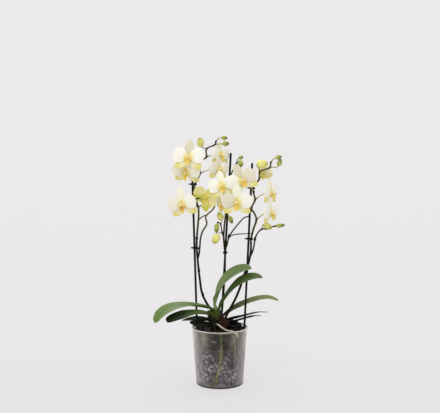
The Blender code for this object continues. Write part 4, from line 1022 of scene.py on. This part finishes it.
# Flower stem, grown woody: round and dull, dark olive-brown low down and fresher green towards the flowers,
# with dry brown scales at the joints. The fine streaks along it are drawn 2 mm wide so that they show.
woody_stem, node, shader = new_material("green_flower_stem", Roughness=0.5, Specular_IOR_Level=0.12)
place = node("TexCoord", out="Object")
long_place = node("Mapping", {"Vector": place, "Scale": (1, 1, 0.15)})
streak = node("TexNoise", {"Vector": long_place, "Scale": 500, "Detail": 3})
young = node("Attribute", out="Fac", attribute_name="young")
uneven = node("Math", {0: streak, 1: 0.3, 2: young}, operation="MULTIPLY_ADD")
uneven = node("Math", {0: uneven, 1: 0.15}, operation="SUBTRACT")
colour = node("ValToRGB", {"Fac": uneven}, stops=[(0.0, "#0a0903"), (0.3, "#2c280c"), (0.5, "#615b26"),
                                                  (0.75, "#8c9148"), (1.0, "#c6ca76")])
dry = node("Attribute", out="Fac", attribute_name="dry")
colour = node("Mix", {0: dry, 6: colour, 7: "#1c180b"}, out=2, data_type="RGBA")
bump = node("Bump", {"Height": streak, "Strength": 0.25, "Distance": 0.0004})
feed(shader, {"Base Color": colour, "Normal": bump})

# Bud skin, grown tight over the folded flower: smooth, satin and slightly see-through, pale yellow-green on
# the plump buds and leaf green on the small ones, darker at the tip.
bud_skin, node, shader = new_material("bud_skin", Roughness=0.42, Subsurface_Weight=0.15,
                                      Subsurface_Scale=0.003)
place = node("TexCoord", out="Object")
flush = node("TexNoise", {"Vector": place, "Scale": 160, "Detail": 3})
age = node("Attribute", out="Fac", attribute_name="age")
tip_share = node("Attribute", out="Fac", attribute_name="tip")
plump = node("ValToRGB", {"Fac": tip_share}, stops=[(0.0, "#e6e086"), (0.6, "#d8d762"), (1.0, "#a2aa3a")])
small = node("ValToRGB", {"Fac": tip_share}, stops=[(0.0, "#9ea542"), (0.5, "#6a7a22"), (1.0, "#3f5210")])
colour = node("Mix", {0: age, 6: small, 7: plump}, out=2, data_type="RGBA")
blush = node("MapRange", {"Value": flush, 1: 0.5, 2: 0.75, 3: 0.0, 4: 0.3})
colour = node("Mix", {0: blush, 6: colour, 7: "#e2dc8e"}, out=2, data_type="RGBA")
bump = node("Bump", {"Height": flush, "Strength": 0.08, "Distance": 0.0005})
feed(shader, {"Base Color": colour, "Normal": bump})


def youth(at):
    """How fresh the stem is at a point: old and brown below, young and green among the flowers."""
    return 0.02 + 0.44 * smooth_step(235 * MM, 380 * MM, at.z)


def nearness(at, joints):
    """How near a point is to the nearest joint: 1 at it, falling to 0 over 7 mm."""
    return math.exp(-((min((at - joint).length for joint in joints) / (4 * MM)) ** 2))


for name, plan in SPIKES.items():
    joints = [point(*spot) for _, spot in plan["blooms"]] + [point(*bud[0]) for bud in plan["buds"]]
    spike_form = new_form("young", "dry")
    buds_form = new_form("tip", "age")
    for foot, tip, route in plan["stems"]:
        path = smooth_path([point(*spot) for spot in route], 9)
        radii = [(foot + (tip - foot) * share + JOINT_SWELLING * nearness(at, joints)) * MM
                 for at, share in zip(path, shares(path))]
        path, radii = rounded(path, radii, tip * MM)
        stem = add_rod(spike_form, path, radii)
        set_trait(spike_form, stem, "young", youth)
        set_trait(spike_form, stem, "dry", lambda at: 0.7 * nearness(at, joints))
    for number, spot in plan["blooms"]:
        _, facing, _, scale, _ = BLOOMS[number]
        forward = Vector(facing).normalized()
        start, end = point(*spot), bloom_matrix(number).translation - forward * BLOOM_BACK * scale
        path = [*stalk_path(start, end - forward * 1.8 * MM, forward), end + forward * 1 * MM]
        radii = [STALK_RADIUS * (1.35 - 0.35 * smooth_step(0, 0.25, share)
                                 + 0.25 * smooth_step(0.85, 1, share)) for share in shares(path)]
        stalk = add_rod(spike_form, path, radii, 12)
        set_trait(spike_form, stalk, "young",
                  lambda at: 0.45 + 0.5 * smooth_step(0, 14 * MM, (at - start).length))
        lean = ((end - start).normalized() + UP).normalized()
        set_trait(spike_form, add_scale(spike_form, start, 2.0 * MM, lean, 6 * MM), "dry", 0.8)
    for spot, base, direction, half_width, half_length in plan["buds"]:
        start, end, way = point(*spot), point(*base), Vector(direction).normalized()
        path = stalk_path(start, end + way * 1.5 * MM, way)
        stalk = add_rod(spike_form, path, [STALK_RADIUS] * len(path), 12)
        set_trait(spike_form, stalk, "young",
                  lambda at: 0.4 + 0.4 * smooth_step(0, 10 * MM, (at - start).length))
        add_bud(buds_form, end, way, half_width, half_length)
        lean = ((end - start).normalized() + UP).normalized()
        set_trait(spike_form, add_scale(spike_form, start, 1.7 * MM, lean, 4.5 * MM), "dry", 0.8)
    for spot in plan["scales"]:
        set_trait(spike_form, add_scale(spike_form, point(*spot), 2.8 * MM, UP, 9 * MM), "dry", 0.6)
    finish_piece("stem_" + name, spike_form, woody_stem, "stem_olive", "spike_" + name)
    finish_piece("buds_" + name, buds_form, bud_skin, "bud_green")

# ---------------------------------------------------------------- clips
# Five sprung claws of black nylon hold the stems to the stakes. Each has an oval band round stake and stem,
# two finger ears behind it and a small wire spring between the ears.

# name: stake, the centre of the stem where the clip holds it
CLIPS = {
    "left_lower": ("left", (-48.6, 4.2, 292)),
    "left_upper": ("left", (-52.2, 5.4, 428)),
    "middle": ("middle", (11, 16.8, 280)),
    "right_lower": ("right", (66.2, 2.6, 312)),
    "right_upper": ("right", (70.1, 1.8, 420)),
}
CLIP_HEIGHT = 3.6 * MM
CLIP_BAND = 1.2 * MM
CLIP_INNER = STAKE_RADIUS + 0.8 * MM
CLIP_STEPS = 10
EAR_BACK = 1.9 * MM  # from the band's back to the middle of the ears
EAR_SIDE = 2.2 * MM
EAR_LENGTH = 5.4 * MM
EAR_THICKNESS = 1.1 * MM
EAR_EDGE = 0.25 * MM
EAR_SPLAY = 0.5  # radians
GRIP_RIBS = 3
GRIP_RADIUS = 0.3 * MM
GRIP_SPACING = 1.5 * MM
SPRING_RADIUS = 0.8 * MM
SPRING_LENGTH = 3.0 * MM
SPRING_WIRE = 0.18 * MM  # its radius
SPRING_TURNS = 3
SPRING_STEPS = 48


def add_clip(bm, stake, held):
    """One clip round a stake and the stem at held: the band, the ears with their grip ribs, the spring."""
    centre = stake_at(stake, held.z)
    reach = held - centre
    verts = []
    for start, shift in ((math.pi / 2, 0), (-math.pi / 2, reach.length)):
        for step in range(CLIP_STEPS + 1):
            angle = start + math.pi * step / CLIP_STEPS
            verts.append(bm.verts.new((shift + CLIP_INNER * math.cos(angle), CLIP_INNER * math.sin(angle),
                                       -CLIP_HEIGHT / 2)))
    edges = [bm.edges.new(pair) for pair in zip(verts, verts[1:] + verts[:1])]
    grown = bmesh.ops.extrude_edge_only(bm, edges=edges)["geom"]
    bmesh.ops.translate(bm, vec=(0, 0, CLIP_HEIGHT),
                        verts=[v for v in grown if isinstance(v, bmesh.types.BMVert)])
    wall = [item for item in grown if isinstance(item, bmesh.types.BMFace)]
    bmesh.ops.recalc_face_normals(bm, faces=wall)
    bmesh.ops.solidify(bm, geom=wall, thickness=-CLIP_BAND)
    for side in (1, -1):
        ear = bmesh.ops.create_cube(bm, size=1)["verts"]
        shape = Matrix.Diagonal((EAR_LENGTH, EAR_THICKNESS, CLIP_HEIGHT * 0.8, 1))
        place = (Matrix.Translation((-CLIP_INNER - EAR_BACK, side * EAR_SIDE, 0))
                 @ Matrix.Rotation(-side * EAR_SPLAY, 4, "Z"))
        bmesh.ops.transform(bm, matrix=place @ shape, verts=ear)
        bmesh.ops.bevel(bm, geom=edges_of(ear), offset=EAR_EDGE, affect="EDGES", segments=2, profile=0.5,
                        material=-1)
        for rib in range(GRIP_RIBS):
            on_ear = Matrix.Translation(((rib - 1.6) * GRIP_SPACING, side * 0.6 * MM, 0))
            post = [place @ on_ear @ Vector((0, 0, end * CLIP_HEIGHT * 0.32)) for end in (-1, 1)]
            add_rod(bm, post, [GRIP_RADIUS] * 2, 8)
    coil = []
    for step in range(SPRING_STEPS + 1):
        angle = math.tau * SPRING_TURNS * step / SPRING_STEPS
        coil.append(Vector((-CLIP_INNER - EAR_BACK + SPRING_RADIUS * math.cos(angle),
                            (step / SPRING_STEPS - 0.5) * SPRING_LENGTH, SPRING_RADIUS * math.sin(angle))))
    add_rod(bm, coil, [SPRING_WIRE] * len(coil), 6)
    turn = Matrix.Translation(centre) @ Matrix.Rotation(math.atan2(reach.y, reach.x), 4, "Z")
    bmesh.ops.transform(bm, matrix=turn, verts=bm.verts)


# Nylon, injection moulded: black and satin, with a matt grain, drawn 0.5 mm coarse so that it shows.
moulded_nylon, node, shader = new_material("moulded_black_nylon", Roughness=0.45, Specular_IOR_Level=0.15)
place = node("TexCoord", out="Object")
grain = node("TexNoise", {"Vector": place, "Scale": 1800, "Detail": 2})
colour = node("ValToRGB", {"Fac": grain}, stops=[(0.3, "#060607"), (0.7, "#121214")])
bump = node("Bump", {"Height": grain, "Strength": 0.2, "Distance": 0.0002})
feed(shader, {"Base Color": colour, "Normal": bump})

for name, (stake, spot) in CLIPS.items():
    clip_form = new_form()
    add_clip(clip_form, stake, point(*spot))
    finish_piece("claw_" + name, clip_form, moulded_nylon, "black_plastic", "clip_" + name, sharp=35)

# ---------------------------------------------------------------- blooms
# Thirteen moth-like flowers, each grown in one piece: three sepals behind, two broad petals in front, and
# the column in the middle. The separate-looking lip is below it: two side lobes that stand up beside the
# column, a raised callus, and a pointed middle lobe with two tendrils.

# Length, half width, outline (see blade_share), height at foot, rise, fall at tip, camber
DORSAL = (37, 9.0, (0.58, 0.22, 0.44, 1.7, 2.0), -1.5, -0.8, -2.2, -1.3)
LATERAL = (34, 9.5, (0.52, 0.20, 0.36, 1.7, 2.0), -1.5, -0.8, -2.2, -1.3)
PETAL = (32.5, 15.5, (0.58, 0.14, 0.56, 1.45, 2.3), 1.1, 3.4, -5.0, -1.5)
TEPAL_INNER = 1.2  # from the bloom's axis to a tepal's foot
TEPALS = {
    "dorsal": (0, DORSAL),
    "lateral_left": (-128, LATERAL),
    "lateral_right": (128, LATERAL),
    "petal_left": (-77, PETAL),
    "petal_right": (77, PETAL),
}
BENDS = {"open": 0.0, "closing": 0.9}
HALO = {"open": 0.65, "closing": 0.15}  # how gold the tepals are round the column
TEPAL_REACH = 34 * MM
TEPAL_ROWS = 26
TEPAL_COLUMNS = 20


def tepal_point(angle, values, u, v, bend, draw_phase):
    """A point of a tepal at u along and v across. bend above 0 swings the tepals forward into a cup."""
    length, half_width, outline, foot, rise, fall, camber = values
    swing = bend * u
    across = half_width * blade_share(u, *outline) * v * (1 - 0.25 * swing)
    along = TEPAL_INNER + (length - TEPAL_INNER) * (u - 0.11 * v * v * u**4)
    lift = foot + rise * u + fall * u**3 + camber * v * v * math.sin(math.pi * min(u, 0.9))
    lift += 0.5 * math.sin(5.5 * u + 2.4 * v + draw_phase) * v * v * smooth_step(0.2, 0.7, u)
    lift -= 0.35 * math.exp(-((v / 0.12) ** 2)) * (1 - u)
    along, lift = along * math.cos(swing), lift + along * math.sin(swing)
    return Matrix.Rotation(-math.radians(angle), 3, "Z") @ point(across, along, lift)


def tepal_thickness(u, v):
    """A tepal is thickest along its middle and thins to its edges and its tip."""
    return (0.85 - 0.4 * abs(v) ** 2 - 0.15 * u) * MM


# Petal flesh, grown as cells full of sap under a soft matt skin: cream-white, with gold round the column and
# a yellow-green flush at the foot, more of it on the sepals and the backs. Fine veins fan along it, 1 to 2 mm
# apart, and some petals and sepals are painted beige-grey as shade.
petal_flesh, node, shader = new_material("petal_flesh", Roughness=0.6, Subsurface_Weight=0.12,
                                         Subsurface_Scale=0.004, Specular_IOR_Level=0.3)
place = node("TexCoord", out="Object")
petal_map = node("UVMap")
vein_place = node("Mapping", {"Vector": petal_map, "Scale": (16, 1.2, 1)})
veins = node("TexNoise", {"Vector": vein_place, "Scale": 1, "Detail": 3})
cloud = node("TexNoise", {"Vector": place, "Scale": 70, "Detail": 2})
flush = node("Attribute", out="Fac", attribute_name="flush")
uneven = node("Math", {0: veins, 1: 0.12, 2: flush}, operation="MULTIPLY_ADD")
uneven = node("Math", {0: cloud, 1: 0.12, 2: uneven}, operation="MULTIPLY_ADD")
uneven = node("Math", {0: uneven, 1: 0.12}, operation="SUBTRACT")
colour = node("ValToRGB", {"Fac": uneven}, stops=[(0.0, "#f3f0e3"), (0.3, "#f0ebc4"), (0.6, "#e4dd88"),
                                                  (1.0, "#c8c650")])
gold = node("Attribute", out="Fac", attribute_name="gold")
colour = node("Mix", {0: gold, 6: colour, 7: "#ecd25c"}, out=2, data_type="RGBA")
petal_shade = node("Attribute", out="Fac", attribute_name="petal_shade")
# Painted shade: the listed sepals and petals are mixed towards beige-grey.
colour = node("Mix", {0: petal_shade, 6: colour, 7: "#d3ccb0"}, out=2, data_type="RGBA")
bump = node("Bump", {"Height": veins, "Strength": 0.2, "Distance": 0.0004})
feed(shader, {"Base Color": colour, "Normal": bump})

# Lip flesh, grown thicker and waxier than the petals: egg yellow, with orange-red bars on the side lobes and
# on the callus.
lip_flesh, node, shader = new_material("lip_flesh", Roughness=0.4, Subsurface_Weight=0.1,
                                       Subsurface_Scale=0.003)
place = node("TexCoord", out="Object")
lip_map = node("UVMap")
bar_place = node("Mapping", {"Vector": lip_map, "Scale": (3, 26, 1)})
bars = node("TexNoise", {"Vector": bar_place, "Scale": 1, "Detail": 2})
heart = node("Attribute", out="Fac", attribute_name="heart")
bar_share = node("MapRange", {"Value": bars, 1: 0.45, 2: 0.6, 3: 0.35, 4: 1.0})
bar_share = node("Math", {0: bar_share, 1: heart}, operation="MULTIPLY")
flush = node("TexNoise", {"Vector": place, "Scale": 200, "Detail": 2})
yellow = node("ValToRGB", {"Fac": flush}, stops=[(0.3, "#dcba38"), (0.7, "#eed866")])
colour = node("Mix", {0: bar_share, 6: yellow, 7: "#b8521c"}, out=2, data_type="RGBA")
bump = node("Bump", {"Height": bars, "Strength": 0.15, "Distance": 0.0004})
feed(shader, {"Base Color": colour, "Normal": bump})

# Lip: share along it, half width, how far its edges stand up
LIP_STATIONS = [(0.0, 2.4, 0.8), (0.2, 7.4, 5.0), (0.36, 7.6, 5.2), (0.55, 4.0, 0.8), (0.78, 5.6, 0.0),
                (1.0, 1.0, -0.4)]
LIP_HEART = point(0, -6, 5)
TENDRIL_SHARES = [step / 5 for step in range(6)]
lip_track = smooth_path([Vector(station) for station in LIP_STATIONS], 12)


def lip_point(u, v):
    """The lip: side lobes that stand up beside the column, then a narrow waist and a pointed middle lobe."""
    station = u * (len(lip_track) - 1)
    index = min(int(station), len(lip_track) - 2)
    along, wide, rise = lip_track[index].lerp(lip_track[index + 1], station - index)
    edge = abs(v) ** 1.6
    curl = 0.8 * edge * math.exp(-(((along - 0.3) / 0.14) ** 2))
    return point(wide * v * (1 - 0.12 * curl), -4.6 - 10.5 * max(along, 0) ** 1.25 + rise * edge,
                 3.4 + 8.5 * along - 4.0 * along * along + 0.55 * rise * edge)


# How far some sepals and petals are painted beige-grey as shade, and the yellow-green of the older
# flowers' backs
PETAL_SHADE = {
    "01": {"dorsal": 0.8},
    "02": {"petal_left": 0.35},
    "03": {"petal_left": 0.3},
    "06": {"dorsal": 0.5, "petal_left": 0.4},
    "08": {"dorsal": 0.8, "petal_right": 0.6},
    "09": {"petal_left": 0.7},
}
BACK_FLUSH = {"04": 0.36, "12": 0.12, "13": 0.35}


def add_bloom(bm, number, shape, draw):
    """The sepals, the petals and the column of one bloom, at the origin facing +Z."""
    for part, (angle, values) in TEPALS.items():
        phase = draw.uniform(0, math.tau)
        broad = values is PETAL
        lower, upper = add_blade(
            bm, TEPAL_ROWS, TEPAL_COLUMNS,
            lambda u, v: tepal_point(angle, values, u, v, BENDS[shape], phase), tepal_thickness)
        for back, verts in ((True, lower), (False, upper)):
            even = (0.0 if broad else 0.12) + (0.12 if back else 0.0) + BACK_FLUSH.get(number, 0.0)

            def flush(at):
                far = min(at.length / TEPAL_REACH, 1)
                foot_flush = 0.5 * (1 - smooth_step(0.08, 0.5, far))
                tip_flush = 0.56 * smooth_step(0.25, 0.95, far) if "lateral" in part else 0.0
                return min(1, foot_flush + tip_flush + even)

            set_trait(bm, verts, "flush", flush)
        set_trait(bm, lower + upper, "gold",
                  lambda at: HALO[shape] * (1 - smooth_step(3 * MM, 14 * MM, at.length)))
        # Painted shade on the listed sepals and petals.
        set_trait(bm, lower + upper, "petal_shade", PETAL_SHADE.get(number, {}).get(part, 0.0))
    heart = add_rod(bm, *rounded([point(0, 0, -4.2), point(0, 0, -2.6), point(0, 0, 1.0), point(0, 0, 2.4)],
                                 [1.6 * MM, 3.3 * MM, 3.6 * MM, 3.2 * MM], 0.8 * MM), 18)
    set_trait(bm, heart, "gold", 0.8)
    column = smooth_path([point(0, 0.6, 1.5), point(0, 1.4, 6), point(0, 1.2, 8.2)], 6)
    wide = [(2.4 - 0.5 * math.sin(math.pi * share) ** 2 - 0.4 * share) * MM for share in shares(column)]
    set_trait(bm, add_rod(bm, *rounded(column, wide, 1.4 * MM), 18), "gold", 0.6)
    cap = bmesh.ops.create_uvsphere(bm, u_segments=16, v_segments=10, radius=1.7 * MM,
                                    matrix=Matrix.Translation(point(0, 0.4, 9.0)))["verts"]
    set_trait(bm, cap, "gold", 0.3)


def add_lip(bm, redness):
    """The lip of one bloom, at the origin facing +Z: its lobes, the callus and the tendrils."""
    lower, upper = add_blade(bm, 30, 22, lip_point, lambda u, v: (0.9 - 0.35 * v * v) * MM)
    set_trait(bm, lower + upper, "heart",
              lambda at: redness * (1 - smooth_step(2.5 * MM, 8.5 * MM, (at - LIP_HEART).length)))
    for side in (1, -1):
        knob = bmesh.ops.create_uvsphere(bm, u_segments=14, v_segments=10, radius=1)["verts"]
        shape = Matrix.LocRotScale(point(side * 1.1, -7.4, 6.6), None, Vector((1.2, 1.5, 1.3)) * MM)
        bmesh.ops.transform(bm, matrix=shape, verts=knob)
        set_trait(bm, knob, "heart", min(1, redness * 0.8))
        end = lip_point(1.0, 0)
        tendril = [end + point(side * 2.6 * t, -3.0 * t + 1.2 * t * t, -1.6 * t + 4.2 * t * t)
                   for t in TENDRIL_SHARES]
        add_rod(bm, tendril, [(0.55 - 0.4 * t) * MM for t in TENDRIL_SHARES], 8)


REDNESS = {"01": 0.2, "03": 1.0, "07": 0.3, "08": 0.3}  # how red the lip's heart is
PLAIN_REDNESS = 0.12
for number, (_, _, _, _, shape) in BLOOMS.items():
    draw = random.Random(int(number))
    place = bloom_matrix(number)
    bloom_form = new_form("flush", "gold", "petal_shade")
    add_bloom(bloom_form, number, shape, draw)
    bmesh.ops.transform(bloom_form, matrix=place, verts=bloom_form.verts)
    finish_piece("flower_" + number, bloom_form, petal_flesh, "petal_cream", "bloom_" + number, sharp=60)
    if shape == "open":
        lip_form = new_form("heart")
        add_lip(lip_form, REDNESS.get(number, PLAIN_REDNESS))
        bmesh.ops.transform(lip_form, matrix=place, verts=lip_form.verts)
        finish_piece("labellum_" + number, lip_form, lip_flesh, "lip_yellow", "lip_" + number, sharp=60)

# ---------------------------------------------------------------- floor, light and camera
# A plain pale studio: a translucent table top, lit from below, that ends a little way behind the pot, and a
# paler sweep beyond it. Soft light comes from all round, more of it from overhead, and one broad key light
# from the front left.

TABLE_BACK = 0.2
TABLE_EDGE = 0.004  # how softly the table ends
SOFTBOX_WAY = (0.0, 0.45, 0.89)

sweep_form = bmesh.new()
bmesh.ops.create_grid(sweep_form, x_segments=1, y_segments=1, size=60)
sweep = new_mesh_object("sweep", sweep_form)

# Opal acrylic, cast in a sheet and lit from below: matt, even and nearly white, so that shadows are faint.
acrylic, node, shader = new_material("lit_studio_table", Roughness=0.9, Specular_IOR_Level=0.1,
                                     Emission_Strength=0.75)
place = node("TexCoord", out="Object")
depth = node("SeparateXYZ", {"Vector": place}, out="Y")
zone = node("MapRange", {"Value": depth, 1: TABLE_BACK - TABLE_EDGE, 2: TABLE_BACK + TABLE_EDGE})
colour = node("Mix", {0: zone, 6: "#e9e7e8", 7: "#ebe9ea"}, out=2, data_type="RGBA")
dim = node("Mix", {0: 0.84, 6: colour, 7: "#000000"}, out=2, data_type="RGBA")
feed(shader, {"Base Color": dim, "Emission Color": colour})
sweep.data.materials.append(acrylic)

world = bpy.data.worlds.new("studio")
bpy.context.scene.world = world
world.use_nodes = True
node = partial(add_node, world.node_tree)
way = node("TexCoord", out="Generated")
overhead = node("VectorMath", {0: way, 1: SOFTBOX_WAY}, out="Value", operation="DOT_PRODUCT")
softbox = node("MapRange", {"Value": overhead, 1: 0.72, 2: 0.9, 3: 1.0, 4: 2.4})
feed(world.node_tree.nodes["Background"], {"Color": "#ecebec", "Strength": softbox})

key = new_object("key", bpy.data.lights.new("key", "SUN"))
key.data.energy = 0.8
key.data.angle = math.radians(35)
key.rotation_mode = "QUATERNION"
key.rotation_quaternion = Vector((0.45, 1.0, -0.85)).to_track_quat("-Z", "Y")

camera = new_object("camera", bpy.data.cameras.new("camera"))
camera.data.lens = 94.05
camera.data.sensor_width = 36
camera.location = (0, -2.4, 0.68)
camera.rotation_mode = "QUATERNION"
camera.rotation_quaternion = (Vector((0.0005, 0, 0.3815)) - camera.location).to_track_quat("-Z", "Y")
camera.data.clip_end = 100
bpy.context.scene.camera = camera
bpy.context.scene.view_settings.view_transform = "Standard"
